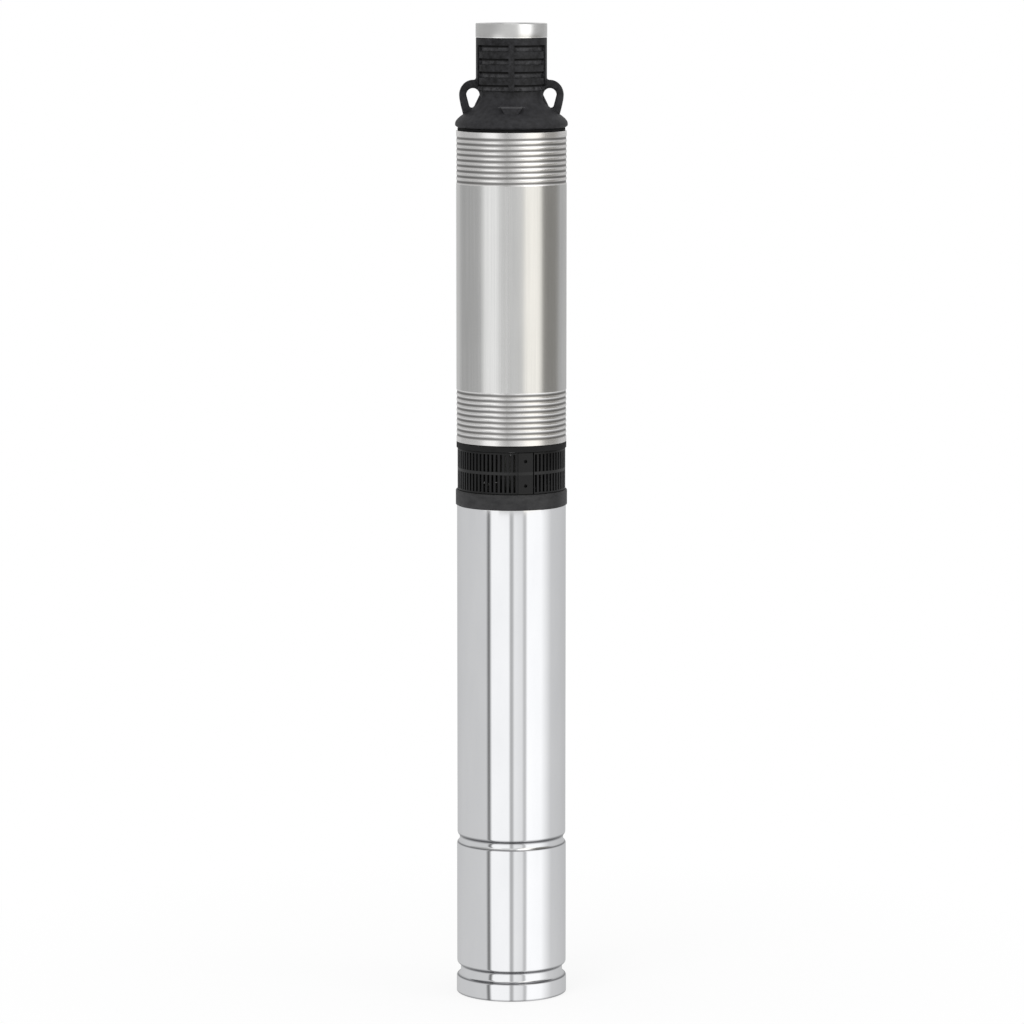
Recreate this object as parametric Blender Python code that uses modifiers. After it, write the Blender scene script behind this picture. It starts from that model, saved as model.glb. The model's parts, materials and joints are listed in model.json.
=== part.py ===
"""Borehole submersible pump: a steel pump end on a steel motor, with every piece a separate solid.

Metres, +Z up. The pump stands on its motor cap: the origin is the centre of that flat face.
The front is -Y, and the two rope eyes of the discharge head lie at +X and -X.
Heights are stacked from the foot upwards, so a changed length moves all that stands on it.
"""

import math

import bmesh
import bpy
from mathutils import Matrix, Vector

# Clearances and facets
FIT = 0.0003
RUNNING_GAP = 0.0006
OVERLAP = 0.0008
ROUND_STEPS = 30
INNER_STEPS = 24
STAGE_STEPS = 20
SMALL_STEPS = 16
GUIDE_STEPS = 12
HOLE_STEPS = 10
VENT_STEPS = 8
HEXAGON = 6
VANE_STATIONS = 4

# Outer diameters: one driving radius, and what stands proud of it or back from it
PUMP_RADIUS = 0.0480
PUMP_WALL = 0.0015
MOTOR_INSET = 0.0004
MOTOR_WALL = 0.0012
CHAMBER_STEP = 0.0004
FOOT_STEP = 0.0008
COLLAR_OVERHANG = 0.0007
SKIRT_OVERHANG = 0.0009
STRAINER_INSET = 0.0009

# Motor, from the foot upwards
CAP_HEIGHT = 0.0340
CHAMBER_HEIGHT = 0.0840
LOWER_BRACKET_HEIGHT = 0.0500
WINDING_ROOM = 0.0340
STATOR_LENGTH = 0.1720
FLANGE_HEIGHT = 0.0262
FOOT_EDGE = 0.0020
FOOT_BEND = 0.0006
FOOT_LAND = 0.0008
CAP_GROOVE_HEIGHT = 0.0205
CAP_GROOVE_WIDTH = 0.0114
CAP_GROOVE_DEPTH = 0.0032
BRACKET_GROOVE_HEIGHT = 0.0202
BRACKET_GROOVE_WIDTH = 0.0083
BRACKET_GROOVE_DEPTH = 0.0020
GROOVE_SLOPE = 0.0022
ROTOR_RADIUS = 0.0238
ROTOR_OVERHANG = 0.0060
AIR_GAP = 0.0005
WINDING_GAP = 0.0040
WINDING_ROUND = 0.0035
SHAFT_RADIUS = 0.0080
SHAFT_PROJECTION = 0.0381
SPLINE_COUNT = 14
SPLINE_DEPTH = 0.0008
SPLINE_WIDTH = 0.0017
SPLINE_FOOT = 0.0100
BEARING_OUTER_RADIUS = 0.0175
BEARING_WIDTH = 0.0120
BEARING_RING = 0.0027
BEARING_POCKET_WALL = 0.0052
CAGE_THICKNESS = 0.0013
LOWER_SHAFT_ROOM = 0.0080
BEARING_BALLS = 7
UPPER_BEARING_INSET = 0.0032
PILOT_INSET = 0.0040
PILOT_HEIGHT = 0.0015
SEAL_HEIGHT = 0.0060
SEAL_RADIUS = 0.0130
SLINGER_RADIUS = 0.0150
SLINGER_HEIGHT = 0.0050
SLINGER_WALL = 0.0018
DIAPHRAGM_RADIUS = 0.0360
DIAPHRAGM_WALL = 0.0025
DIAPHRAGM_FOLD = 0.0050
DIAPHRAGM_FOLDS = 3
DIAPHRAGM_HEADROOM = 0.0200
VENT_RADIUS = 0.0030
VENT_CIRCLE = 0.0200
VENT_COUNT = 4

# Joint between the motor and the pump end
STUD_COUNT = 4
STUD_RADIUS = 0.0040
STUD_EDGE = 0.0078
STUD_DEPTH = 0.0130
NUT_FLATS = 0.0130
NUT_HEIGHT = 0.0065
STUD_TIP = 0.0030
PANEL_ANGLE = math.radians(15.0)
GLAND_RADIUS = 0.0068
GLAND_BORE = 0.0036
GLAND_EDGE = 0.0110
GLAND_DEPTH = 0.0100
GLAND_PROJECTION = 0.0180
COLLAR_HEIGHT = 0.0132
COLLAR_EDGE = 0.0010
COLLAR_BORE = 0.0210
PILLAR_WIDTH = 0.0120
PILLAR_DEPTH = 0.0084

# Strainer
STRAINER_HEIGHT = 0.0363
STRAINER_WALL = 0.0012
SLOT_POSITIONS = 76
PLAIN_POSITIONS = 4
SLOT_WIDTH = 0.0019
SLOT_RAIL = 0.0016
SLOT_RIB = 0.0026
SEAM_GAP = 0.0010
SEAM_TURN = math.radians(9.0)
PANEL_WIDTH = 0.0130
PANEL_RISE = 0.0004
CLOSED_TURN = math.radians(45.0)
PANEL_HOLE_RADIUS = 0.0015
PANEL_HOLE_EDGE = 0.0075
LEAD_WINDOW_WIDTH = 0.0150
LEAD_WINDOW_RAIL = 0.0030

# Pump end: the threaded bracket, the stages and the bearing above them
LIP_HEIGHT = 0.0050
BRACKET_SPIGOT = 0.0379
SPIGOT_WALL = 0.0065
EYE_RADIUS = 0.0190
EYE_PLATE = 0.0030
EYE_TAPER = 0.0030
SPOKE_COUNT = 3
SPOKE_WIDTH = 0.0050
BUSH_HEIGHT = 0.0140
BUSH_WALL = 0.0028
HUB_WALL = 0.0026
BUSH_DROP = 0.0080
STAGE_COUNT = 4
STAGE_PITCH = 0.04575
BOWL_WALL = 0.0018
BOWL_PLATE = 0.0025
IMPELLER_ANNULUS = 0.0060
IMPELLER_LIFT = 0.0015
IMPELLER_SHROUD = 0.0018
IMPELLER_CONE = 0.0036
IMPELLER_VANES = 5
VANE_HEIGHT = 0.0110
VANE_THICKNESS = 0.0018
VANE_WRAP = math.radians(85.0)
IMPELLER_HUB_RADIUS = 0.0105
VANE_SETBACK = 0.0050
GUIDE_VANES = 6
GUIDE_WRAP = math.radians(-70.0)
GUIDE_GAP = 0.0030
HEX_FLATS = 0.0120
STOP_RING_HEIGHT = 0.0030
COUPLING_RADIUS = 0.0130
COUPLING_FOOT = 0.0030
COUPLING_HEAD = 0.0160
COUPLING_SCREW_RADIUS = 0.0025
BEARING_RIM = 0.0040
BEARING_RIM_WIDTH = 0.0092
JOURNAL_RADIUS = 0.0055
SLEEVE_WALL = 0.0025
TOP_NUT_HEIGHT = 0.0060
TOP_NUT_FLATS = 0.0160
GROOVE_COUNT = 9
GROOVE_PITCH = 0.0047
GROOVE_DEPTH = 0.0007
GROOVE_BAND = 0.0062

# Discharge head, its outlet sleeve and its non-return valve
HEAD_SPIGOT = 0.0481
HEAD_CHAMBER_WALL = 0.0052
GASKET_HEIGHT = 0.0020
GASKET_WIDTH = 0.0019
GASKET_INSET = 0.0012
SKIRT_UNDERCUT = 0.0022
SKIRT_BEVEL = 0.0017
SKIRT_LIP = 0.0017
FLARE_HEIGHT = 0.0247
FLARE_SHAPE = 1.25
FLARE_POINTS = 5
NECK_HEIGHT = 0.0493
NECK_RADIUS = 0.0308
RECESS_DEPTH = 0.0032
RECESS_COUNT = 4
RECESS_HEIGHT = 0.0056
RECESS_PITCH = 0.0113
TOP_BAND = 0.0060
FRONT_WEB = 0.0051
SIDE_WEB = 0.0190
SIDE_CHANNEL = 0.0042
OUTLET_RADIUS = 0.0229
SLEEVE_PROUD = 0.0124
SLEEVE_STEP = 0.0002
SLEEVE_SPIGOT = 0.0180
SLEEVE_SPIGOT_WALL = 0.0024
EYE_THICKNESS = 0.0090
EYE_HOLE_WIDTH = 0.0115
EYE_HOLE_TOP = 0.0059
EYE_HOLE_POINT = 0.0111
EYE_HOLE_FOOT = 0.0024
EYE_HOLE_LEAN = 0.0010
EYE_HOLE_HEIGHT = 0.0281
EYE_RING = 0.0062
EYE_CROWN = 0.0070
EYE_POINTS = 5
BOSS_WIDTH = 0.0200
BOSS_HEIGHT = 0.0120
BOSS_FOOT = 0.0072
BOSS_DEPTH = 0.0425
SEAT_RADIUS = 0.0215
SEAT_HEIGHT = 0.0050
SEAT_DROP = 0.0010
SEAT_SKIRT_WALL = 0.0020
SEAT_TAPER = 0.0040
STEM_RADIUS = 0.0040
STEM_GUIDE_WALL = 0.0040
STEM_GUIDE_HEIGHT = 0.0090
POPPET_OVERLAP = 0.0035
POPPET_DISC = 0.0030
POPPET_CROWN = 0.0060
CROWN_RADIUS = 0.0080
RING_DRAFT = 0.0012
SEAL_RING_HEIGHT = 0.0018
SEAL_RING_WIDTH = 0.0050
SPRING_LENGTH = 0.0180
SPRING_TURNS = 4
SPRING_FACETS = 8
SPRING_WIRE = 0.0006
SPRING_RADIUS = 0.0066
RETAINER_RADIUS = 0.0080
RETAINER_HEIGHT = 0.0020

# Radii that follow from those above
motor_radius = PUMP_RADIUS - MOTOR_INSET
chamber_radius = motor_radius + CHAMBER_STEP
foot_radius = motor_radius + FOOT_STEP
motor_bore = motor_radius - MOTOR_WALL
chamber_bore = chamber_radius - MOTOR_WALL
foot_bore = foot_radius - MOTOR_WALL
collar_radius = PUMP_RADIUS + COLLAR_OVERHANG
skirt_radius = PUMP_RADIUS + SKIRT_OVERHANG
strainer_radius = PUMP_RADIUS - STRAINER_INSET
strainer_bore = strainer_radius - STRAINER_WALL
stud_circle = strainer_bore - STUD_EDGE
pump_bore = PUMP_RADIUS - PUMP_WALL
spigot_radius = pump_bore - FIT
bowl_bore = spigot_radius - BOWL_WALL
impeller_radius = bowl_bore - IMPELLER_ANNULUS
hex_radius = HEX_FLATS / 2 / math.cos(math.pi / 6)
recess_radius = NECK_RADIUS - RECESS_DEPTH

# Heights that follow from those above
bracket_foot = CAP_HEIGHT + CHAMBER_HEIGHT
bracket_groove = bracket_foot + BRACKET_GROOVE_HEIGHT
stator_foot = bracket_foot + LOWER_BRACKET_HEIGHT + WINDING_ROOM
stator_top = stator_foot + STATOR_LENGTH
flange_foot = stator_top + WINDING_ROOM
motor_top = flange_foot + FLANGE_HEIGHT
shaft_top = motor_top + SHAFT_PROJECTION
collar_foot = motor_top + FIT
collar_top = collar_foot + COLLAR_HEIGHT
strainer_foot = collar_top + FIT
strainer_top = strainer_foot + STRAINER_HEIGHT
lip_foot = strainer_top + FIT
lip_top = lip_foot + LIP_HEIGHT
shell_foot = lip_top + FIT
spigot_top = lip_top + BRACKET_SPIGOT
stages_foot = spigot_top + FIT
bearing_foot = stages_foot + STAGE_COUNT * STAGE_PITCH
bearing_rim_top = bearing_foot + BEARING_RIM
head_foot = bearing_rim_top + FIT
skirt_foot = head_foot + HEAD_SPIGOT
shell_top = skirt_foot - GASKET_HEIGHT - 2 * FIT
flare_top = skirt_foot + SKIRT_BEVEL + SKIRT_LIP + FLARE_HEIGHT
neck_top = flare_top + NECK_HEIGHT
neck_foot = neck_top - TOP_BAND - (RECESS_COUNT - 1) * RECESS_PITCH - RECESS_HEIGHT
outlet_top = neck_top + SLEEVE_PROUD

for old in list(bpy.data.objects):
    bpy.data.objects.remove(old, do_unlink=True)
pieces = bpy.data.collections.new("borehole_submersible_pump")
tools = bpy.data.collections.new("cutters")
bpy.context.scene.collection.children.link(pieces)
bpy.context.scene.collection.children.link(tools)
tools.hide_render = True


def material(name, colour, roughness, metallic=0.0):
    made = bpy.data.materials.new(name)
    made.use_nodes = True
    shader = made.node_tree.nodes["Principled BSDF"]
    shader.inputs["Base Color"].default_value = (*colour, 1.0)
    shader.inputs["Roughness"].default_value = roughness
    shader.inputs["Metallic"].default_value = metallic
    return made


BRUSHED_STEEL = material("brushed_steel", (0.58, 0.58, 0.57), 0.30, 1.0)
POLISHED_STEEL = material("polished_steel", (0.66, 0.66, 0.67), 0.14, 1.0)
MACHINED_STEEL = material("machined_steel", (0.55, 0.55, 0.54), 0.35, 1.0)
BLACK_PLASTIC = material("black_plastic", (0.030, 0.030, 0.032), 0.55)
GREY_PLASTIC = material("grey_plastic", (0.16, 0.16, 0.17), 0.50)
PALE_PLASTIC = material("pale_plastic", (0.55, 0.53, 0.47), 0.45)
CAST_IRON = material("cast_iron", (0.07, 0.07, 0.075), 0.60, 0.4)
BRONZE = material("bronze", (0.42, 0.25, 0.10), 0.35, 1.0)
COPPER = material("copper", (0.55, 0.22, 0.10), 0.40, 1.0)
LAMINATION = material("lamination_steel", (0.20, 0.20, 0.22), 0.50, 0.8)
BLACK_RUBBER = material("black_rubber", (0.020, 0.020, 0.020), 0.80)


def piece(name, mesh, finish, z=0.0):
    """A visible sub-part on the pump's axis, at height z."""
    made = bpy.data.objects.new(name, mesh)
    made.location = (0.0, 0.0, z)
    mesh.materials.append(finish)
    pieces.objects.link(made)
    return made


def tool(name, mesh, matrix=None):
    """A shape that only cuts or joins, so it is left out of the model."""
    made = bpy.data.objects.new(name, mesh)
    made.matrix_world = matrix or Matrix()
    made.hide_render = True
    made.display_type = "WIRE"
    tools.objects.link(made)
    return made


def boolean(target, other, operation):
    change = target.modifiers.new(other.name, "BOOLEAN")
    change.operation = operation
    change.object = other
    change.solver = "EXACT"


def cut(target, other):
    boolean(target, other, "DIFFERENCE")


def join(target, other):
    boolean(target, other, "UNION")


def turned_mesh(name, outline, steps, on_axis=False):
    """A profile of (radius, height) points turned about Z. It runs down its outer side."""
    last = len(outline) - 1
    edges = [(i, i + 1) for i in range(last)]
    if not on_axis:
        edges.append((last, 0))
    profile = bpy.data.meshes.new(name + "_profile")
    profile.from_pydata([(radius, 0.0, height) for radius, height in outline], edges, [])
    lathe = bpy.data.objects.new(name + "_lathe", profile)
    bpy.context.scene.collection.objects.link(lathe)
    screw = lathe.modifiers.new("Turn", "SCREW")
    screw.axis = "Z"
    screw.steps = steps
    screw.render_steps = steps
    screw.use_merge_vertices = True
    screw.merge_threshold = 0.00001
    graph = bpy.context.evaluated_depsgraph_get()
    mesh = bpy.data.meshes.new_from_object(lathe.evaluated_get(graph))
    mesh.name = name
    bpy.data.objects.remove(lathe)
    mesh.shade_smooth()
    mesh.set_sharp_from_angle(angle=math.radians(35.0))
    return mesh


def turned(name, outline, finish, z=0.0, steps=ROUND_STEPS, on_axis=False):
    return piece(name, turned_mesh(name, outline, steps, on_axis), finish, z)


def ring(name, outer, inner, height, finish, z, steps=SMALL_STEPS):
    """A plain ring, tube or washer that stands on z."""
    outline = [(outer, height), (outer, 0.0), (inner, 0.0), (inner, height)]
    return turned(name, outline, finish, z, steps)


def cylinders(name, radius, low, high, places, steps=HOLE_STEPS, turn=0.0):
    """Upright cylinders or prisms at the (x, y) places, as one mesh, with a corner at +X."""
    shape = bmesh.new()
    for x, y in places:
        middle = Matrix.Translation((x, y, (low + high) / 2))
        bmesh.ops.create_cone(
            shape,
            cap_ends=True,
            segments=steps,
            radius1=radius,
            radius2=radius,
            depth=high - low,
            matrix=middle @ Matrix.Rotation(turn - math.pi / 2, 4, "Z"),
        )
    mesh = bpy.data.meshes.new(name)
    shape.to_mesh(mesh)
    shape.free()
    return mesh


def spoke_boxes(name, angles, start, end, width, low, high):
    """Boxes that run outwards along each angle, from one radius to the other, as one mesh."""
    shape = bmesh.new()
    size = Matrix.Diagonal((end - start, width, high - low, 1.0))
    middle = Matrix.Translation(((start + end) / 2, 0.0, (low + high) / 2))
    for angle in angles:
        bmesh.ops.create_cube(shape, size=1.0, matrix=Matrix.Rotation(angle, 4, "Z") @ middle @ size)
    mesh = bpy.data.meshes.new(name)
    shape.to_mesh(mesh)
    shape.free()
    return mesh


def plate_mesh(name, loops, thickness):
    """Flat closed loops in XY, filled and given a thickness about z = 0."""
    flat = bpy.data.curves.new(name, "CURVE")
    flat.dimensions = "2D"
    flat.fill_mode = "BOTH"
    flat.extrude = thickness / 2
    for loop in loops:
        spline = flat.splines.new("POLY")
        spline.points.add(len(loop) - 1)
        spline.use_cyclic_u = True
        for point, (x, y) in zip(spline.points, loop):
            point.co = (x, y, 0.0, 1.0)
    guide = bpy.data.objects.new(name, flat)
    bpy.context.scene.collection.objects.link(guide)
    graph = bpy.context.evaluated_depsgraph_get()
    mesh = bpy.data.meshes.new_from_object(guide.evaluated_get(graph))
    bpy.data.objects.remove(guide)
    shape = bmesh.new()
    shape.from_mesh(mesh)
    bmesh.ops.remove_doubles(shape, verts=shape.verts, dist=0.000001)
    bmesh.ops.recalc_face_normals(shape, faces=shape.faces)
    shape.to_mesh(mesh)
    shape.free()
    return mesh


def vane_loops(count, inner, outer, wrap, thickness, stations=VANE_STATIONS):
    """Outlines of curved vanes: each a spiral from the inner to the outer radius, evenly thick."""
    loops = []
    for vane in range(count):
        start = 2 * math.pi * vane / count
        spine = []
        for step in range(stations):
            along = step / (stations - 1)
            radius = inner + (outer - inner) * along
            angle = start + wrap * math.sin(along * math.pi / 2)
            spine.append(Vector((radius * math.cos(angle), radius * math.sin(angle))))
        near, far = [], []
        for step, point in enumerate(spine):
            way = spine[min(step + 1, stations - 1)] - spine[max(step - 1, 0)]
            side = Vector((-way.y, way.x)).normalized() * thickness / 2
            near.append(point - side)
            far.append(point + side)
        loops.append(near + far[::-1])
    return loops


def around(count, radius, start=0.0):
    """Places on a circle, as (x, y)."""
    turns = [start + 2 * math.pi * i / count for i in range(count)]
    return [(radius * math.cos(turn), radius * math.sin(turn)) for turn in turns]


# The strainer's plain panel, and the bracket pillar behind it, lie right of the front
panel_turn = PANEL_ANGLE - math.pi / 2
stud_turn = panel_turn + math.pi / STUD_COUNT
gland_turn = math.pi / 2
stud_places = around(STUD_COUNT, stud_circle, stud_turn)
gland_circle = strainer_bore - GLAND_EDGE
gland_place = (gland_circle * math.cos(gland_turn), gland_circle * math.sin(gland_turn))


def clinch(above, below, middle, width, depth):
    """A rolled groove between two bores, as points that run down: shoulder, floor, floor, shoulder."""
    floor = above - depth
    return [
        (above, middle + width / 2),
        (floor, middle + width / 2 - GROOVE_SLOPE),
        (floor, middle - width / 2 + GROOVE_SLOPE),
        (below, middle - width / 2),
    ]


def motor_outline(inset, foot):
    """The rolled shell's line, moved inwards: its outside, its inside, and what it clinches."""
    upper = motor_radius - inset
    chamber = chamber_radius - inset
    base = foot_radius - inset
    line = [(upper, motor_top)]
    line += clinch(upper, chamber, bracket_groove, BRACKET_GROOVE_WIDTH, BRACKET_GROOVE_DEPTH)
    line += clinch(chamber, base, CAP_GROOVE_HEIGHT, CAP_GROOVE_WIDTH, CAP_GROOVE_DEPTH)
    return line + [(base, foot)]


def build_motor_shell():
    outside = motor_outline(0.0, FOOT_EDGE)
    outside.append((foot_radius - FOOT_BEND, FOOT_BEND))
    outside.append((foot_radius - FOOT_LAND, 0.0))
    inside = motor_outline(MOTOR_WALL, 0.0)
    turned("motor_shell", outside + inside[::-1], POLISHED_STEEL)


def build_bottom_cap():
    """The cap that the lower groove holds. Its face is the foot of the pump."""
    seat = foot_bore - FIT
    neck = clinch(
        chamber_bore - FIT, seat, CAP_GROOVE_HEIGHT, CAP_GROOVE_WIDTH, CAP_GROOVE_DEPTH
    )
    outline = [(chamber_bore - FIT, CAP_HEIGHT)] + neck + [(seat, 0.0)]
    well = DIAPHRAGM_RADIUS - DIAPHRAGM_WALL
    outline = [(0.0, CAP_GROOVE_HEIGHT), (well, CAP_GROOVE_HEIGHT), (well, CAP_HEIGHT)] + outline
    outline.append((0.0, 0.0))
    cap = turned("bottom_cap", outline, CAST_IRON, steps=STAGE_STEPS, on_axis=True)
    places = around(VENT_COUNT, VENT_CIRCLE, math.pi / VENT_COUNT)
    vents = cylinders(
        "vents", VENT_RADIUS, -OVERLAP, CAP_GROOVE_HEIGHT + OVERLAP, places, VENT_STEPS
    )
    cut(cap, tool("vents", vents))


def build_diaphragm():
    """The rubber bellows that lets the motor's filling breathe. It is open below."""
    foot = CAP_HEIGHT + FIT
    top = bracket_foot - DIAPHRAGM_HEADROOM
    fold = (top - foot - DIAPHRAGM_WALL) / DIAPHRAGM_FOLDS
    outer = DIAPHRAGM_RADIUS + DIAPHRAGM_FOLD
    outside = [(0.0, top), (DIAPHRAGM_RADIUS - DIAPHRAGM_FOLD, top)]
    for turn in range(DIAPHRAGM_FOLDS):
        swing = DIAPHRAGM_RADIUS if turn % 2 == 0 else DIAPHRAGM_RADIUS - DIAPHRAGM_FOLD
        outside.append((swing, top - (turn + 0.5) * fold))
    outside += [(outer, foot + DIAPHRAGM_WALL), (outer, foot)]
    inside = [(DIAPHRAGM_RADIUS - DIAPHRAGM_WALL, foot)]
    for turn in reversed(range(DIAPHRAGM_FOLDS)):
        radius = outside[2 + turn][0] - DIAPHRAGM_WALL
        inside.append((radius, outside[2 + turn][1]))
    inside.append((0.0, top - DIAPHRAGM_WALL))
    turned("diaphragm", outside + inside, BLACK_RUBBER, steps=SMALL_STEPS, on_axis=True)


lower_bearing_foot = bracket_foot + LOWER_BRACKET_HEIGHT - BEARING_WIDTH
shaft_seat = SHAFT_RADIUS + FIT
upper_bearing_foot = flange_foot + UPPER_BEARING_INSET


def build_lower_bracket():
    """The casting that the upper groove holds, with the pocket of the lower bearing."""
    rim_top = bracket_groove + BRACKET_GROOVE_WIDTH
    neck = clinch(
        motor_bore - FIT,
        chamber_bore - FIT,
        bracket_groove,
        BRACKET_GROOVE_WIDTH,
        BRACKET_GROOVE_DEPTH,
    )
    rim = [(motor_bore - FIT, rim_top)] + neck + [(chamber_bore - FIT, bracket_foot)]
    pocket = BEARING_OUTER_RADIUS + FIT
    boss = pocket + BEARING_POCKET_WALL
    boss_top = bracket_foot + LOWER_BRACKET_HEIGHT
    outline = [(pocket, boss_top), (boss, boss_top), (boss, rim_top)] + rim
    room = shaft_seat + LOWER_SHAFT_ROOM
    outline += [(room, bracket_foot), (room, lower_bearing_foot - FIT)]
    outline.append((pocket, lower_bearing_foot - FIT))
    turned("lower_bearing_bracket", outline, CAST_IRON, steps=STAGE_STEPS)


def build_bearing(name, foot):
    """A ball bearing: inner ring, outer ring, and its balls on one cage."""
    inner = shaft_seat + BEARING_RING
    outer = BEARING_OUTER_RADIUS - BEARING_RING
    middle = (inner + outer) / 2
    ball = (outer - inner) / 2 - FIT
    ring(name + "_inner_ring", inner, shaft_seat, BEARING_WIDTH, MACHINED_STEEL, foot)
    ring(name + "_outer_ring", BEARING_OUTER_RADIUS, outer, BEARING_WIDTH, MACHINED_STEEL, foot)
    half = CAGE_THICKNESS / 2
    cage_outline = [
        (middle + half, half),
        (middle + half, -half),
        (middle - half, -half),
        (middle - half, half),
    ]
    centre = foot + BEARING_WIDTH / 2
    cage = turned(name + "_ball_cage", cage_outline, MACHINED_STEEL, centre, BEARING_BALLS)
    balls = bmesh.new()
    for x, y in around(BEARING_BALLS, middle):
        spot = Matrix.Translation((x, y, centre))
        bmesh.ops.create_icosphere(balls, subdivisions=1, radius=ball, matrix=spot)
    mesh = bpy.data.meshes.new(name + "_balls")
    balls.to_mesh(mesh)
    balls.free()
    join(cage, tool(name + "_balls", mesh))


def build_stator():
    stator = motor_bore - FIT
    bore = ROTOR_RADIUS + AIR_GAP
    ring("stator_core", stator, bore, STATOR_LENGTH, LAMINATION, stator_foot, STAGE_STEPS)
    inner = bore + WINDING_GAP
    outer = stator - WINDING_GAP
    height = WINDING_ROOM - WINDING_GAP
    outline = [
        (outer - WINDING_ROUND, height),
        (outer, height - WINDING_ROUND),
        (outer, FIT),
        (inner, FIT),
        (inner, height - WINDING_ROUND),
        (inner + WINDING_ROUND, height),
    ]
    turned("upper_winding", outline, COPPER, stator_top, SMALL_STEPS)
    lower = [(radius, -level) for radius, level in outline[::-1]]
    turned("lower_winding", lower, COPPER, stator_foot, SMALL_STEPS)


def build_rotor():
    foot = stator_foot - ROTOR_OVERHANG
    length = STATOR_LENGTH + 2 * ROTOR_OVERHANG
    ring("rotor_core", ROTOR_RADIUS, shaft_seat, length, LAMINATION, foot)
    outline = [
        (0.0, shaft_top),
        (SHAFT_RADIUS - SPLINE_DEPTH, shaft_top),
        (SHAFT_RADIUS, shaft_top - SPLINE_DEPTH),
        (SHAFT_RADIUS, lower_bearing_foot - SPLINE_DEPTH),
        (0.0, lower_bearing_foot - SPLINE_DEPTH),
    ]
    shaft = turned("motor_shaft", outline, MACHINED_STEEL, steps=SPLINE_COUNT, on_axis=True)
    angles = [2 * math.pi * i / SPLINE_COUNT for i in range(SPLINE_COUNT)]
    gullets = spoke_boxes(
        "gullets",
        angles,
        SHAFT_RADIUS - SPLINE_DEPTH,
        SHAFT_RADIUS + SPLINE_DEPTH,
        SPLINE_WIDTH,
        motor_top + SPLINE_FOOT,
        shaft_top + SPLINE_DEPTH,
    )
    cut(shaft, tool("gullets", gullets))


def build_motor_flange():
    """The upper end bell: bearing pocket below, seal pocket above, pilot and stud holes."""
    rim = motor_bore - FIT
    pocket = BEARING_OUTER_RADIUS + FIT
    bearing_top = upper_bearing_foot + BEARING_WIDTH + FIT
    seal_seat = SEAL_RADIUS + FIT
    pilot = motor_radius - PILOT_INSET
    outline = [
        (seal_seat, motor_top + PILOT_HEIGHT),
        (pilot, motor_top + PILOT_HEIGHT),
        (pilot, motor_top),
        (rim, motor_top),
        (rim, flange_foot),
        (pocket, flange_foot),
        (pocket, bearing_top),
        (seal_seat, bearing_top),
    ]
    flange = turned("motor_flange", outline, CAST_IRON, steps=STAGE_STEPS)
    hole = STUD_RADIUS + FIT
    foot = motor_top - STUD_DEPTH - FIT
    holes = cylinders("stud_holes", hole, foot, motor_top + PILOT_HEIGHT + OVERLAP, stud_places)
    cut(flange, tool("stud_holes", holes))
    lead = cylinders(
        "lead_hole",
        GLAND_RADIUS + FIT,
        motor_top - GLAND_DEPTH - FIT,
        motor_top + PILOT_HEIGHT + OVERLAP,
        [gland_place],
    )
    cut(flange, tool("lead_hole", lead))
    seal_foot = motor_top + PILOT_HEIGHT - SEAL_HEIGHT
    ring("shaft_seal", SEAL_RADIUS, shaft_seat, SEAL_HEIGHT, BLACK_RUBBER, seal_foot)
    slinger = [
        (shaft_seat + SLINGER_WALL, SLINGER_HEIGHT),
        (SLINGER_RADIUS, FIT + SLINGER_WALL),
        (SLINGER_RADIUS, FIT),
        (shaft_seat, FIT),
        (shaft_seat, SLINGER_HEIGHT),
    ]
    turned("sand_slinger", slinger, BLACK_RUBBER, motor_top + PILOT_HEIGHT, SMALL_STEPS)


def build_studs():
    """Four studs in the flange, and their nuts on top of the bracket's collar."""
    nut_foot = collar_top + FIT
    tip = nut_foot + NUT_HEIGHT + STUD_TIP
    thread = STUD_RADIUS + FIT
    for number, (x, y) in enumerate(stud_places, 1):
        stud = cylinders("stud", STUD_RADIUS, motor_top - STUD_DEPTH, tip, [(0.0, 0.0)])
        made = piece(f"flange_stud_{number}", stud, MACHINED_STEEL)
        made.location = (x, y, 0.0)
        turn = math.atan2(y, x) + math.pi / 6
        corner = NUT_FLATS / 2 / math.cos(math.pi / 6)
        nut = piece(
            f"flange_nut_{number}",
            cylinders("nut", corner, nut_foot, nut_foot + NUT_HEIGHT, [(0.0, 0.0)], HEXAGON, turn),
            MACHINED_STEEL,
        )
        nut.location = (x, y, 0.0)
        bore = cylinders("nut_bore", thread, nut_foot - OVERLAP, tip, [(0.0, 0.0)])
        cut(nut, tool(f"nut_bore_{number}", bore, Matrix.Translation((x, y, 0.0))))


def build_cable_gland():
    """The inlet of the motor lead, open above where the lead would enter."""
    height = GLAND_DEPTH + GLAND_PROJECTION
    outline = [
        (0.0, GLAND_DEPTH),
        (GLAND_BORE, GLAND_DEPTH),
        (GLAND_BORE, height),
        (GLAND_RADIUS - COLLAR_EDGE, height),
        (GLAND_RADIUS, height - COLLAR_EDGE),
        (GLAND_RADIUS, 0.0),
        (0.0, 0.0),
    ]
    gland = turned("cable_gland", outline, BLACK_RUBBER, 0.0, HOLE_STEPS, on_axis=True)
    gland.location = (*gland_place, motor_top - GLAND_DEPTH)


bush_bore = hex_radius + RUNNING_GAP
bush_radius = bush_bore + BUSH_WALL
bush_foot = lip_top + BUSH_DROP
hub_radius = bush_radius + FIT + HUB_WALL


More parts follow.
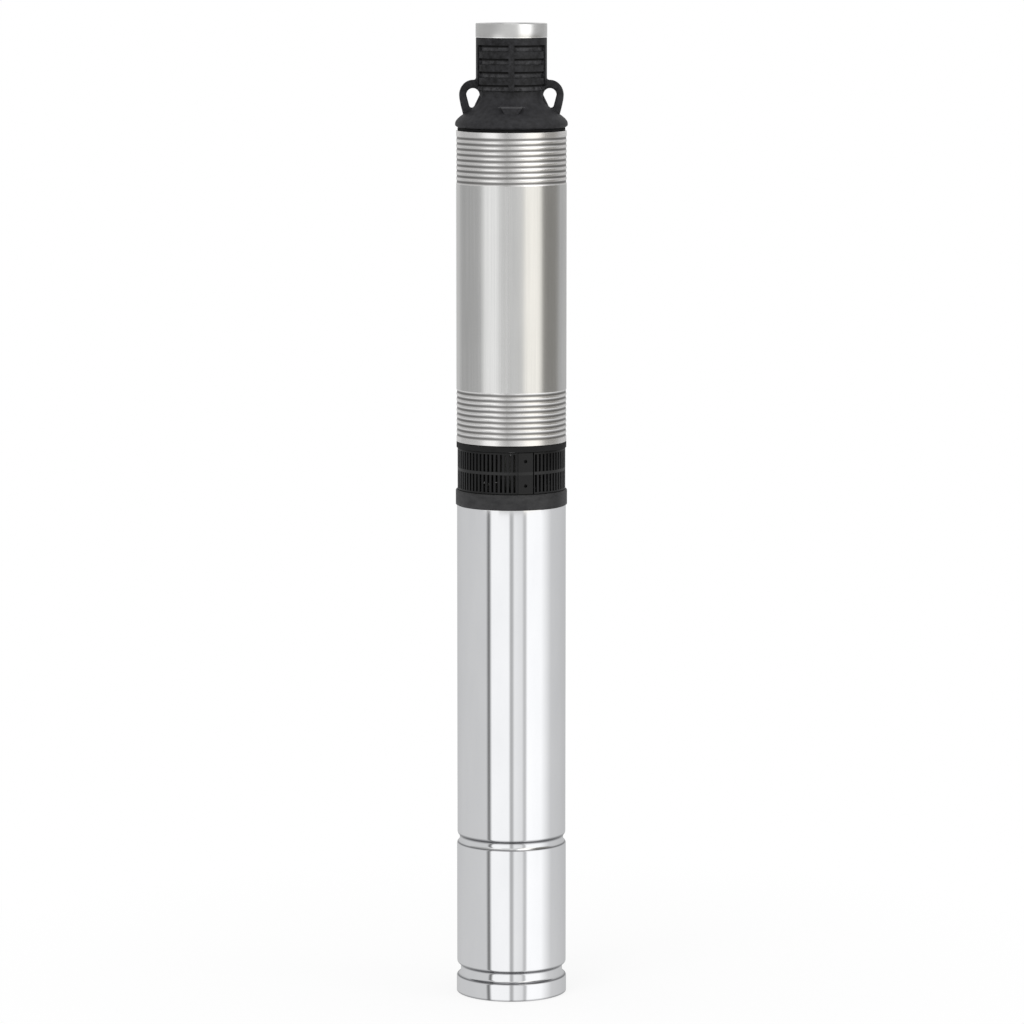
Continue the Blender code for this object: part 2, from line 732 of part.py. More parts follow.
def build_intake_bracket():
    """Collar, pillars, lip and threaded spigot in one moulding, with a spider for the bush."""
    pilot_seat = motor_radius - PILOT_INSET + FIT
    recess = collar_foot + PILOT_HEIGHT + FIT
    collar_outline = [
        (collar_radius - COLLAR_EDGE, collar_top),
        (collar_radius, collar_top - COLLAR_EDGE),
        (collar_radius, collar_foot),
        (pilot_seat, collar_foot),
        (pilot_seat, recess),
        (COLLAR_BORE, recess),
        (COLLAR_BORE, collar_top),
    ]
    bracket = turned("intake_bracket", collar_outline, BLACK_PLASTIC)
    throat = spigot_radius - SPIGOT_WALL
    upper_outline = [
        (spigot_radius, spigot_top),
        (spigot_radius, lip_top),
        (PUMP_RADIUS, lip_top),
        (PUMP_RADIUS, lip_foot),
        (throat - OVERLAP, lip_foot),
        (throat, lip_top),
        (throat, spigot_top - EYE_PLATE - EYE_TAPER),
        (EYE_RADIUS, spigot_top - EYE_PLATE),
        (EYE_RADIUS, spigot_top),
    ]
    upper = turned_mesh("upper_ring", upper_outline, ROUND_STEPS)
    join(bracket, tool("upper_ring", upper))
    seat = strainer_bore * math.cos(2 * math.pi / SLOT_POSITIONS) - FIT
    pillar_out = math.sqrt(seat**2 - (PILLAR_WIDTH / 2) ** 2)
    angles = [panel_turn + math.pi * quarter / 2 for quarter in (0, 1, 3)]
    pillars = spoke_boxes(
        "pillars",
        angles,
        pillar_out - PILLAR_DEPTH,
        pillar_out,
        PILLAR_WIDTH,
        collar_top - COLLAR_EDGE * 2,
        lip_top - OVERLAP,
    )
    join(bracket, tool("pillars", pillars))
    hub = turned_mesh(
        "bush_hub",
        [
            (hub_radius, bush_foot + BUSH_HEIGHT),
            (hub_radius, bush_foot),
            (bush_radius + FIT, bush_foot),
            (bush_radius + FIT, bush_foot + BUSH_HEIGHT),
        ],
        SMALL_STEPS,
    )
    join(bracket, tool("bush_hub", hub))
    spokes = spoke_boxes(
        "spokes",
        [panel_turn + 2 * math.pi * i / SPOKE_COUNT for i in range(SPOKE_COUNT)],
        hub_radius - OVERLAP,
        throat + OVERLAP * 2,
        SPOKE_WIDTH,
        bush_foot + OVERLAP,
        bush_foot + BUSH_HEIGHT - OVERLAP,
    )
    join(bracket, tool("spokes", spokes))
    holes = cylinders(
        "bracket_stud_holes",
        STUD_RADIUS + FIT,
        collar_foot - OVERLAP,
        collar_top + OVERLAP,
        stud_places,
    )
    cut(bracket, tool("bracket_stud_holes", holes))
    notch = spoke_boxes(
        "lead_notch",
        [gland_turn],
        gland_circle - GLAND_RADIUS - RUNNING_GAP,
        collar_radius + OVERLAP,
        (GLAND_RADIUS + RUNNING_GAP) * 2,
        collar_foot - OVERLAP,
        collar_top + OVERLAP,
    )
    cut(bracket, tool("lead_notch", notch))
    ring("intake_bush", bush_radius, bush_bore, BUSH_HEIGHT, BLACK_RUBBER, bush_foot)


def build_strainer():
    """The slotted sleeve round the intake: a sprung sheet with a seam beside its plain panel.

    Two rows of slots run round it, except at the panel and at the closed back with its window.
    """
    pitch = 2 * math.pi / SLOT_POSITIONS
    strainer = ring(
        "strainer",
        strainer_radius,
        strainer_bore,
        STRAINER_HEIGHT,
        BLACK_PLASTIC,
        strainer_foot,
        SLOT_POSITIONS // 2,
    )
    strainer.rotation_euler = (0.0, 0.0, panel_turn)
    panel = spoke_boxes(
        "panel",
        [0.0],
        strainer_bore + FIT,
        strainer_radius + PANEL_RISE,
        PANEL_WIDTH,
        FIT,
        STRAINER_HEIGHT - FIT,
    )
    join(strainer, tool("panel", panel, strainer_matrix()))
    slot_height = (STRAINER_HEIGHT - 2 * SLOT_RAIL - SLOT_RIB) / 2
    first = PLAIN_POSITIONS / 2 + 0.5
    window_turn = gland_turn - panel_turn
    angles = [(first + i) * pitch for i in range(SLOT_POSITIONS - PLAIN_POSITIONS)]
    angles = [angle for angle in angles if abs(angle - window_turn) > CLOSED_TURN]
    for row in range(2):
        low = SLOT_RAIL + row * (slot_height + SLOT_RIB)
        slots = spoke_boxes(
            f"slots_{row}",
            angles,
            strainer_bore - STRAINER_WALL,
            strainer_radius + STRAINER_WALL,
            SLOT_WIDTH,
            low,
            low + slot_height,
        )
        made = tool(f"slots_{row}", slots, strainer_matrix())
        cut(strainer, made)
    seam = spoke_boxes(
        "seam",
        [SEAM_TURN],
        strainer_bore - STRAINER_WALL,
        strainer_radius + STRAINER_WALL,
        SEAM_GAP,
        -OVERLAP,
        STRAINER_HEIGHT + OVERLAP,
    )
    cut(strainer, tool("seam", seam, strainer_matrix()))
    window = spoke_boxes(
        "lead_window",
        [window_turn],
        strainer_bore - STRAINER_WALL * 2,
        strainer_radius + STRAINER_WALL,
        LEAD_WINDOW_WIDTH,
        LEAD_WINDOW_RAIL,
        STRAINER_HEIGHT - LEAD_WINDOW_RAIL,
    )
    cut(strainer, tool("lead_window", window, strainer_matrix()))
    for number, height in enumerate((PANEL_HOLE_EDGE, STRAINER_HEIGHT - PANEL_HOLE_EDGE)):
        mesh = cylinders(
            "panel_hole", PANEL_HOLE_RADIUS, -PILLAR_DEPTH, PILLAR_DEPTH, [(0.0, 0.0)], VENT_STEPS
        )
        place = Matrix.Translation((strainer_radius, 0.0, height))
        hole = tool(
            f"panel_hole_{number}",
            mesh,
            strainer_matrix() @ place @ Matrix.Rotation(math.pi / 2, 4, "Y"),
        )
        cut(strainer, hole)


def strainer_matrix():
    return Matrix.Translation((0.0, 0.0, strainer_foot)) @ Matrix.Rotation(panel_turn, 4, "Z")


coupling_foot = motor_top + PILOT_HEIGHT + SLINGER_HEIGHT + FIT + COUPLING_FOOT
coupling_top = shaft_top + COUPLING_HEAD
pump_shaft_foot = shaft_top + FIT * 2


def build_coupling():
    """The steel sleeve that joins the motor's splined end to the pump's hexagon shaft."""
    bore = SHAFT_RADIUS + FIT
    outline = [
        (COUPLING_RADIUS - COLLAR_EDGE, coupling_top),
        (COUPLING_RADIUS, coupling_top - COLLAR_EDGE),
        (COUPLING_RADIUS, coupling_foot + COLLAR_EDGE),
        (COUPLING_RADIUS - COLLAR_EDGE, coupling_foot),
        (bore, coupling_foot),
        (bore, shaft_top + FIT),
        (0.0, shaft_top + FIT),
    ]
    coupling = turned(
        "shaft_coupling",
        [(0.0, coupling_top)] + outline,
        POLISHED_STEEL,
        steps=SMALL_STEPS,
        on_axis=True,
    )
    socket = cylinders(
        "hex_socket",
        hex_radius + FIT,
        shaft_top - OVERLAP,
        coupling_top + OVERLAP,
        [(0.0, 0.0)],
        HEXAGON,
    )
    cut(coupling, tool("hex_socket", socket))
    height = (pump_shaft_foot + coupling_top) / 2
    flat = HEX_FLATS / 2 + 2 * FIT
    across = Matrix.Rotation(-math.pi / 2, 4, "Z") @ Matrix.Rotation(math.pi / 2, 4, "Y")
    spot = Matrix.Translation((0.0, 0.0, height)) @ across
    hole = cylinders("screw_hole", COUPLING_SCREW_RADIUS + FIT, 0.0, COUPLING_RADIUS * 2, [(0.0, 0.0)])
    cut(coupling, tool("screw_hole", hole, spot))
    screw = cylinders("coupling_screw", COUPLING_SCREW_RADIUS, flat, COUPLING_RADIUS, [(0.0, 0.0)])
    piece("coupling_screw", screw, MACHINED_STEEL).matrix_world = spot


journal_foot = bearing_foot - FIT
journal_top = bearing_foot + BUSH_HEIGHT
shaft_end = journal_top + TOP_NUT_HEIGHT + 2 * FIT
sleeve_radius = JOURNAL_RADIUS + FIT + SLEEVE_WALL


def build_pump_shaft():
    shaft = piece(
        "pump_shaft",
        cylinders("hexagon", hex_radius, pump_shaft_foot, journal_foot, [(0.0, 0.0)], HEXAGON),
        MACHINED_STEEL,
    )
    journal = cylinders("journal", JOURNAL_RADIUS, journal_foot - OVERLAP, shaft_end, [(0.0, 0.0)])
    join(shaft, tool("journal", journal))
    ring(
        "impeller_stop_ring",
        IMPELLER_HUB_RADIUS,
        hex_radius + FIT,
        STOP_RING_HEIGHT,
        MACHINED_STEEL,
        spigot_top - STOP_RING_HEIGHT,
    )
    ring(
        "bearing_sleeve",
        sleeve_radius,
        JOURNAL_RADIUS + FIT,
        BUSH_HEIGHT - FIT,
        MACHINED_STEEL,
        bearing_foot + FIT,
    )
    corner = TOP_NUT_FLATS / 2 / math.cos(math.pi / 6)
    nut_foot = journal_top + FIT
    nut = piece(
        "shaft_top_nut",
        cylinders("top_nut", corner, nut_foot, nut_foot + TOP_NUT_HEIGHT, [(0.0, 0.0)], HEXAGON),
        MACHINED_STEEL,
    )
    thread = JOURNAL_RADIUS + FIT
    bore = cylinders("top_nut_bore", thread, nut_foot - OVERLAP, shaft_end + OVERLAP, [(0.0, 0.0)])
    cut(nut, tool("top_nut_bore", bore))


def build_upper_bearing():
    """The spider above the stages, with the bush that steadies the shaft's upper end."""
    bush_in = sleeve_radius + RUNNING_GAP
    bush_out = bush_in + BUSH_WALL
    hub_out = bush_out + FIT + HUB_WALL
    rim_in = spigot_radius - BEARING_RIM_WIDTH
    rim = [
        (spigot_radius, bearing_rim_top),
        (spigot_radius, bearing_foot),
        (rim_in, bearing_foot),
        (rim_in, bearing_rim_top),
    ]
    bracket = turned("upper_bearing_bracket", rim, GREY_PLASTIC, steps=STAGE_STEPS)
    hub = turned_mesh(
        "upper_hub",
        [
            (hub_out, bearing_foot + BUSH_HEIGHT),
            (hub_out, bearing_foot),
            (bush_out + FIT, bearing_foot),
            (bush_out + FIT, bearing_foot + BUSH_HEIGHT),
        ],
        SMALL_STEPS,
    )
    join(bracket, tool("upper_hub", hub))
    spokes = spoke_boxes(
        "upper_spokes",
        [2 * math.pi * i / SPOKE_COUNT for i in range(SPOKE_COUNT)],
        hub_out - OVERLAP,
        rim_in + OVERLAP,
        SPOKE_WIDTH,
        bearing_foot + OVERLAP / 2,
        bearing_rim_top - OVERLAP / 2,
    )
    join(bracket, tool("upper_spokes", spokes))
    height = BUSH_HEIGHT - FIT
    ring("upper_bearing_bush", bush_out, bush_in, height, BRONZE, bearing_foot + FIT)


def build_impeller(name, foot):
    """A semi-open impeller: hub, shroud, and curved vanes under it that sweep over the plate below."""
    vane_foot = IMPELLER_LIFT
    ceiling = vane_foot + VANE_HEIGHT
    hub_top = STAGE_PITCH - FIT
    outline = [
        (0.0, hub_top),
        (IMPELLER_HUB_RADIUS, hub_top),
        (IMPELLER_HUB_RADIUS, ceiling + IMPELLER_SHROUD + IMPELLER_CONE),
        (impeller_radius, ceiling + IMPELLER_SHROUD),
        (impeller_radius, ceiling),
        (IMPELLER_HUB_RADIUS, ceiling),
        (IMPELLER_HUB_RADIUS, 0.0),
        (0.0, 0.0),
    ]
    impeller = turned(name, outline, PALE_PLASTIC, foot, SMALL_STEPS, on_axis=True)
    loops = vane_loops(
        IMPELLER_VANES,
        IMPELLER_HUB_RADIUS + VANE_SETBACK,
        impeller_radius * math.cos(math.pi / SMALL_STEPS) - VANE_THICKNESS,
        VANE_WRAP,
        VANE_THICKNESS,
    )
    vanes = plate_mesh(name + "_vanes", loops, VANE_HEIGHT + OVERLAP)
    middle = Matrix.Translation((0.0, 0.0, foot + vane_foot + (VANE_HEIGHT + OVERLAP) / 2))
    join(impeller, tool(name + "_vanes", vanes, middle))
    place = Matrix.Translation((0.0, 0.0, foot))
    bore = cylinders(
        "hub_bore", hex_radius + FIT, -OVERLAP, hub_top + OVERLAP, [(0.0, 0.0)], HEXAGON
    )
    cut(impeller, tool(name + "_bore", bore, place))


def build_diffuser(name, foot):
    """A stage's bowl: its wall, and a top plate with an eye that carries curved guide vanes."""
    height = STAGE_PITCH - FIT
    under = height - BOWL_PLATE
    bowl = [
        (spigot_radius, height),
        (spigot_radius, 0.0),
        (bowl_bore, 0.0),
        (bowl_bore, under),
        (EYE_RADIUS, under),
        (EYE_RADIUS, height),
    ]
    diffuser = turned(name, bowl, GREY_PLASTIC, foot, STAGE_STEPS)
    loops = vane_loops(
        GUIDE_VANES,
        EYE_RADIUS + VANE_THICKNESS,
        bowl_bore - VANE_THICKNESS,
        GUIDE_WRAP,
        VANE_THICKNESS,
    )
    low = IMPELLER_LIFT + VANE_HEIGHT + IMPELLER_SHROUD + IMPELLER_CONE + GUIDE_GAP
    high = under + OVERLAP
    vanes = plate_mesh(name + "_vanes", loops, high - low)
    middle = Matrix.Translation((0.0, 0.0, foot + (low + high) / 2))
    join(diffuser, tool(name + "_vanes", vanes, middle))


def build_stages():
    for stage in range(STAGE_COUNT):
        foot = stages_foot + stage * STAGE_PITCH
        build_impeller(f"impeller_{stage + 1}", foot)
        build_diffuser(f"diffuser_{stage + 1}", foot)


def build_pump_shell():
    """The steel tube, with rows of rolled thread grooves near both ends."""
    outline = [(PUMP_RADIUS, shell_top)]
    group = (GROOVE_COUNT - 1) * GROOVE_PITCH
    for start in (shell_top - GROOVE_BAND, shell_foot + GROOVE_BAND + group):
        outline.append((PUMP_RADIUS, start + GROOVE_PITCH / 2))
        for groove in range(GROOVE_COUNT):
            middle = start - groove * GROOVE_PITCH
            outline.append((PUMP_RADIUS - GROOVE_DEPTH, middle))
            outline.append((PUMP_RADIUS, middle - GROOVE_PITCH / 2))
    outline += [(PUMP_RADIUS, shell_foot), (pump_bore, shell_foot), (pump_bore, shell_top)]
    turned("pump_shell", outline, BRUSHED_STEEL)


gasket_foot = shell_top + FIT
gasket_outer = PUMP_RADIUS - GASKET_INSET
gasket_inner = gasket_outer - GASKET_WIDTH
head_bore = spigot_radius - HEAD_CHAMBER_WALL
seat_top = skirt_foot + SKIRT_BEVEL + SEAT_DROP
sleeve_spigot_radius = OUTLET_RADIUS + SLEEVE_SPIGOT_WALL


def flare():
    """The skirt's outside, from the neck down to the lip: slow at first, then round."""
    points = []
    for step in range(FLARE_POINTS + 1):
        along = step / FLARE_POINTS
        share = (1 - math.cos(math.pi * along**FLARE_SHAPE)) / 2
        radius = recess_radius + (skirt_radius - recess_radius) * share
        points.append((radius, flare_top - FLARE_HEIGHT * along))
    return points


def rope_eye_loops():
    """One rope eye in (x, height): a rounded ring round a drop-shaped hole."""
    middle = recess_radius + EYE_HOLE_WIDTH / 2
    level = skirt_foot + EYE_HOLE_HEIGHT
    half = EYE_HOLE_WIDTH / 2
    hole = []
    for step in range(EYE_POINTS * 2):
        turn = math.pi * step / (EYE_POINTS * 2 - 1)
        hole.append((middle + half * math.cos(turn), level + EYE_HOLE_TOP * math.sin(turn)))
    for step in range(1, EYE_POINTS - 1):
        turn = -math.pi * (1 - step / (EYE_POINTS - 1))
        across = middle + EYE_HOLE_LEAN + EYE_HOLE_FOOT * math.cos(turn)
        rounding = EYE_HOLE_FOOT * (1 + math.sin(turn))
        hole.append((across, level - EYE_HOLE_POINT + rounding))
    outer = []
    for step in range(EYE_POINTS):
        turn = math.pi / 2 * step / (EYE_POINTS - 1)
        across = middle + (half + EYE_RING) * math.sin(turn)
        outer.append((across, level + (EYE_HOLE_TOP + EYE_CROWN) * math.cos(turn)))
    foot = skirt_foot + SKIRT_BEVEL + SKIRT_LIP * 2
    core = recess_radius - OVERLAP
    edge = middle + EYE_RING + OVERLAP
    outer += [(edge, foot), (core, foot), (core, level + EYE_HOLE_TOP + EYE_CROWN + OVERLAP)]
    return [outer, hole[::-1]]


def build_discharge_head():
    """The moulded head: spigot, flared skirt, ribbed neck with four webs, and two rope eyes."""
    relief = gasket_inner - FIT
    pocket = sleeve_spigot_radius + FIT
    shelf = neck_top - SLEEVE_SPIGOT - FIT
    outline = [(NECK_RADIUS, neck_top), (NECK_RADIUS, neck_foot), (recess_radius, neck_foot)]
    outline += flare()
    outline += [
        (skirt_radius, skirt_foot + SKIRT_BEVEL),
        (skirt_radius - SKIRT_UNDERCUT, skirt_foot),
        (relief, skirt_foot),
        (relief, gasket_foot - FIT),
        (spigot_radius, gasket_foot - FIT * 2),
        (spigot_radius, head_foot),
        (head_bore, head_foot),
        (head_bore, seat_top + FIT),
        (head_bore - SEAT_SKIRT_WALL, seat_top + FIT),
        (OUTLET_RADIUS, flare_top),
        (OUTLET_RADIUS, shelf),
        (pocket, shelf),
        (pocket, neck_top),
    ]
    head = turned("discharge_head", outline, BLACK_PLASTIC, steps=INNER_STEPS)
    reach = NECK_RADIUS + RECESS_DEPTH
    webs = []
    for name, turns, width in (
        ("front_webs", (math.pi / 2, -math.pi / 2), FRONT_WEB),
        ("side_webs", (0.0, math.pi), SIDE_WEB),
    ):
        boxes = spoke_boxes(name, turns, 0.0, reach + OVERLAP, width, neck_foot, neck_top)
        webs.append(tool(name, boxes))
    for recess in range(RECESS_COUNT):
        top = neck_top - TOP_BAND - recess * RECESS_PITCH
        low = top - RECESS_HEIGHT
        if recess == RECESS_COUNT - 1:
            low -= OVERLAP
        loop = [(reach, top), (reach, low), (recess_radius, low), (recess_radius, top)]
        band = tool(f"recess_{recess}", turned_mesh("recess", loop, INNER_STEPS))
        beside_eyes = recess == RECESS_COUNT - 1
        for web in webs[:1] if beside_eyes else webs:
            cut(band, web)
        cut(head, band)
    channel_turn = math.asin((SIDE_WEB + SIDE_CHANNEL) / 2 / NECK_RADIUS)
    channels = spoke_boxes(
        "side_channels",
        [side + way * channel_turn for side in (0.0, math.pi) for way in (1, -1)],
        recess_radius,
        reach + OVERLAP,
        SIDE_CHANNEL,
        neck_foot - OVERLAP,
        neck_top - TOP_BAND,
    )
    cut(head, tool("side_channels", channels))
    upright = Matrix.Rotation(math.pi / 2, 4, "X")
    eye = plate_mesh("rope_eye", rope_eye_loops(), EYE_THICKNESS)
    join(head, tool("rope_eye_right", eye, upright))
    join(head, tool("rope_eye_left", eye.copy(), Matrix.Rotation(math.pi, 4, "Z") @ upright))
    top = skirt_foot + BOSS_FOOT + BOSS_HEIGHT
    boss_loop = [
        (-BOSS_WIDTH / 2, top),
        (BOSS_WIDTH / 2, top),
        (FRONT_WEB / 2, top - BOSS_HEIGHT),
        (-FRONT_WEB / 2, top - BOSS_HEIGHT),
    ]
    depth = BOSS_DEPTH - recess_radius
    place = Matrix.Translation((0.0, -(recess_radius + depth / 2 + OVERLAP - RECESS_DEPTH), 0.0))
    boss = plate_mesh("boss", [boss_loop], depth)
    join(head, tool("front_boss", boss, place @ upright))


def build_head_trim():
    ring(
        "head_gasket",
        gasket_outer,
        gasket_inner,
        GASKET_HEIGHT,
        BLACK_RUBBER,
        gasket_foot,
        INNER_STEPS,
    )
    outer = NECK_RADIUS + SLEEVE_STEP
    outline = [
        (outer - COLLAR_EDGE / 2, outlet_top),
        (outer, outlet_top - COLLAR_EDGE / 2),
        (outer, neck_top + FIT),
        (sleeve_spigot_radius, neck_top + FIT),
        (sleeve_spigot_radius, neck_top - SLEEVE_SPIGOT),
        (OUTLET_RADIUS, neck_top - SLEEVE_SPIGOT),
        (OUTLET_RADIUS, outlet_top),
    ]
    turned("outlet_sleeve", outline, MACHINED_STEEL)


guide_foot = seat_top - STEM_GUIDE_HEIGHT
guide_radius = STEM_RADIUS + FIT + STEM_GUIDE_WALL
retainer_top = guide_foot - SPRING_LENGTH - 2 * FIT


def build_valve():
    """The non-return valve: a seat on a skirt, a guided poppet with its seal, and its spring."""
    outer = head_bore - FIT
    skirt_in = outer - SEAT_SKIRT_WALL
    seat_outline = [
        (outer, seat_top),
        (outer, bearing_rim_top + FIT),
        (skirt_in, bearing_rim_top + FIT),
        (skirt_in, seat_top - SEAT_HEIGHT - SEAT_TAPER),
        (SEAT_RADIUS, seat_top - SEAT_HEIGHT),
        (SEAT_RADIUS, seat_top),
    ]
    seat = turned("valve_seat", seat_outline, GREY_PLASTIC, steps=INNER_STEPS)
    bore = STEM_RADIUS + FIT
    guide = turned_mesh(
        "stem_guide",
        [(guide_radius, seat_top), (guide_radius, guide_foot), (bore, guide_foot), (bore, seat_top)],
        GUIDE_STEPS,
    )
    join(seat, tool("stem_guide", guide))
    spokes = spoke_boxes(
        "seat_spokes",
        [2 * math.pi * i / SPOKE_COUNT for i in range(SPOKE_COUNT)],
        guide_radius - OVERLAP,
        SEAT_RADIUS + OVERLAP,
        SPOKE_WIDTH / 2,
        seat_top - SEAT_HEIGHT,
        seat_top - OVERLAP,
    )
    join(seat, tool("seat_spokes", spokes))
    disc = SEAT_RADIUS + POPPET_OVERLAP
    disc_foot = seat_top + 2 * FIT + SEAL_RING_HEIGHT
    ring_in = disc - SEAL_RING_WIDTH
    poppet = [
        (0.0, disc_foot + POPPET_DISC + POPPET_CROWN),
        (CROWN_RADIUS, disc_foot + POPPET_DISC + POPPET_CROWN / 2),
        (disc, disc_foot + POPPET_DISC / 2),
        (disc, disc_foot),
        (ring_in - FIT, disc_foot),
        (ring_in - RING_DRAFT, seat_top + FIT),
        (STEM_RADIUS, seat_top + FIT),
        (STEM_RADIUS, retainer_top),
        (RETAINER_RADIUS, retainer_top),
        (RETAINER_RADIUS, retainer_top - RETAINER_HEIGHT),
        (0.0, retainer_top - RETAINER_HEIGHT),
    ]
    turned("valve_poppet", poppet, GREY_PLASTIC, steps=STAGE_STEPS, on_axis=True)
    ring(
        "valve_seal_ring",
        disc,
        ring_in,
        SEAL_RING_HEIGHT,
        BLACK_RUBBER,
        seat_top + FIT,
        STAGE_STEPS,
    )
    build_valve_spring()


def build_valve_spring():
    """A round-wire spring round the stem, between the retainer and the guide."""
    coil = bpy.data.curves.new("valve_spring", "CURVE")
    coil.dimensions = "3D"
    coil.bevel_depth = SPRING_WIRE
    coil.bevel_resolution = 0
    coil.use_fill_caps = True
    spline = coil.splines.new("POLY")
    count = SPRING_TURNS * SPRING_FACETS + 1
    spline.points.add(count - 1)
    rise = SPRING_LENGTH - 2 * SPRING_WIRE
    for step, point in enumerate(spline.points):
        along = step / (count - 1)
        turn = 2 * math.pi * SPRING_TURNS * along
        height = retainer_top + FIT + SPRING_WIRE + rise * along
        point.co = (SPRING_RADIUS * math.cos(turn), SPRING_RADIUS * math.sin(turn), height, 1.0)
    spring = bpy.data.objects.new("valve_spring", coil)
    coil.materials.append(MACHINED_STEEL)
    pieces.objects.link(spring)


def main():
    build_motor_shell()
    build_bottom_cap()
    build_diaphragm()
    build_lower_bracket()
    build_bearing("lower_bearing", lower_bearing_foot)
    build_bearing("upper_bearing", upper_bearing_foot)
    build_stator()
    build_rotor()
    build_motor_flange()
    build_studs()
    build_cable_gland()
    build_intake_bracket()
    build_strainer()
    build_coupling()
    build_pump_shaft()
    build_stages()
    build_upper_bearing()
    build_pump_shell()
    build_discharge_head()
    build_head_trim()
    build_valve()


main()
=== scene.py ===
"""Looks of the borehole submersible pump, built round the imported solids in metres."""

import json
import math

import bmesh
import bpy
from mathutils import Matrix, Vector

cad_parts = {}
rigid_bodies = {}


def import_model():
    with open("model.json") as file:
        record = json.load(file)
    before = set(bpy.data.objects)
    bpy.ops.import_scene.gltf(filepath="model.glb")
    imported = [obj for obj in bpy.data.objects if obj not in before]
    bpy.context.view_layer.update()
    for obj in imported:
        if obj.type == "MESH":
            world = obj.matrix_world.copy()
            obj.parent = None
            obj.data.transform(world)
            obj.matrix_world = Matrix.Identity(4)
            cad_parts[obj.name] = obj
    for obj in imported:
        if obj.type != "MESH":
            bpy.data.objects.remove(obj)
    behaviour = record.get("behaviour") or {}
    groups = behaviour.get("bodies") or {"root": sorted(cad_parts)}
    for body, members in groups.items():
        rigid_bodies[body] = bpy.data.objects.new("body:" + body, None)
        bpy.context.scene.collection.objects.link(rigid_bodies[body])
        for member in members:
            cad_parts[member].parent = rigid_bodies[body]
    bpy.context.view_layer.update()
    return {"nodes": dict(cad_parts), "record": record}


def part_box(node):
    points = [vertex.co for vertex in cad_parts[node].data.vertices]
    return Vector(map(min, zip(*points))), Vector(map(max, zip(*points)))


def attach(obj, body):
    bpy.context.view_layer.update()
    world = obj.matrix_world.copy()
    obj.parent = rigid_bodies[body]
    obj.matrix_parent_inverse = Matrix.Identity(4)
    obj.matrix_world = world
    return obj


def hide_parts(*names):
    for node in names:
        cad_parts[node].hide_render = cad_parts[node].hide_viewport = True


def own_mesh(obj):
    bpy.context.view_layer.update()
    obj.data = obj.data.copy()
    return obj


for old in list(bpy.data.objects):
    bpy.data.objects.remove(old, do_unlink=True)
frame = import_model()

# The camera stands far off with a long lens, a little above the pump's middle, square to its front.
# At this distance a pixel of the square picture is 0.88 mm wide on the pump's axis.
PICTURE = 1024
PIXEL = 0.000876
LENS_PIXELS = 4700.0
SENSOR = 0.036
FARTHEST = 50.0
ELEVATION = math.radians(7.25)
AIM = Vector((0.0005, 0.0, 0.4270))


def linked(name, data):
    """A new object in the scene."""
    made = bpy.data.objects.new(name, data)
    bpy.context.scene.collection.objects.link(made)
    return made


eye = bpy.data.cameras.new("camera")
eye.sensor_width = SENSOR * 1000
eye.lens = LENS_PIXELS / PICTURE * eye.sensor_width
eye.clip_end = FARTHEST
camera = linked("camera", eye)
distance = LENS_PIXELS * PIXEL
camera.location = AIM + distance * Vector((0.0, -math.cos(ELEVATION), math.sin(ELEVATION)))
camera.rotation_euler = (math.pi / 2 - ELEVATION, 0.0, 0.0)
bpy.context.scene.camera = camera


# The floor is one pale sheet under the motor's foot. To the camera it is as white as the
# background, and only the soft shadow of the pump shows on it.
class Wire:
    """A node's output socket. Sums with it add Math nodes to its tree."""

    def __init__(self, socket):
        self.socket = socket

    def output(self, name):
        """Another output of the same node."""
        return Wire(self.socket.node.outputs[name])

    def summed(self, operation, *values):
        node = self.socket.id_data.nodes.new("ShaderNodeMath")
        node.operation = operation
        for slot, value in zip(node.inputs, values):
            feed(slot, value)
        return Wire(node.outputs[0])

    def math(self, operation, *others):
        return self.summed(operation, self, *others)

    def clamped(self):
        """Held between 0 and 1."""
        return self.math("MAXIMUM", 0.0).math("MINIMUM", 1.0)

    def __add__(self, other):
        return self.math("ADD", other)

    def __radd__(self, other):
        return self.summed("ADD", other, self)

    def __sub__(self, other):
        return self.math("SUBTRACT", other)

    def __rsub__(self, other):
        return self.summed("SUBTRACT", other, self)

    def __mul__(self, other):
        return self.math("MULTIPLY", other)

    def __truediv__(self, other):
        return self.math("DIVIDE", other)

    def __gt__(self, other):
        return self.math("GREATER_THAN", other)

    def __lt__(self, other):
        return self.math("LESS_THAN", other)


def feed(slot, value):
    """Links a wire to an input socket, or sets the socket's own value."""
    if isinstance(value, Wire):
        slot.id_data.links.new(value.socket, slot)
    else:
        slot.default_value = value


class Tree:
    """A node tree that is being filled."""

    def __init__(self, tree):
        self.tree = tree

    def node(self, kind, settings=None, inputs=None, out=0, stops=()):
        """Any node: its settings first, then the values or links of its sockets."""
        made = self.tree.nodes.new(kind)
        for key, value in (settings or {}).items():
            setattr(made, key, value)
        if stops:
            ramp = made.color_ramp
            while len(ramp.elements) > 1:
                ramp.elements.remove(ramp.elements[-1])
            for number, (place, colour) in enumerate(stops):
                element = ramp.elements[0] if number == 0 else ramp.elements.new(place)
                element.position = place
                element.color = (*colour, 1.0)
        for key, value in (inputs or {}).items():
            feed(made.inputs[key], value)
        return Wire(made.outputs[out]) if len(made.outputs) else None


def blank_material(name):
    made = bpy.data.materials.new(name)
    made.use_nodes = True
    made.node_tree.nodes.clear()
    return made, Tree(made.node_tree)


def mesh_from(name, shape):
    """A mesh from a bmesh, which is then freed."""
    mesh = bpy.data.meshes.new(name)
    shape.to_mesh(mesh)
    shape.free()
    return mesh


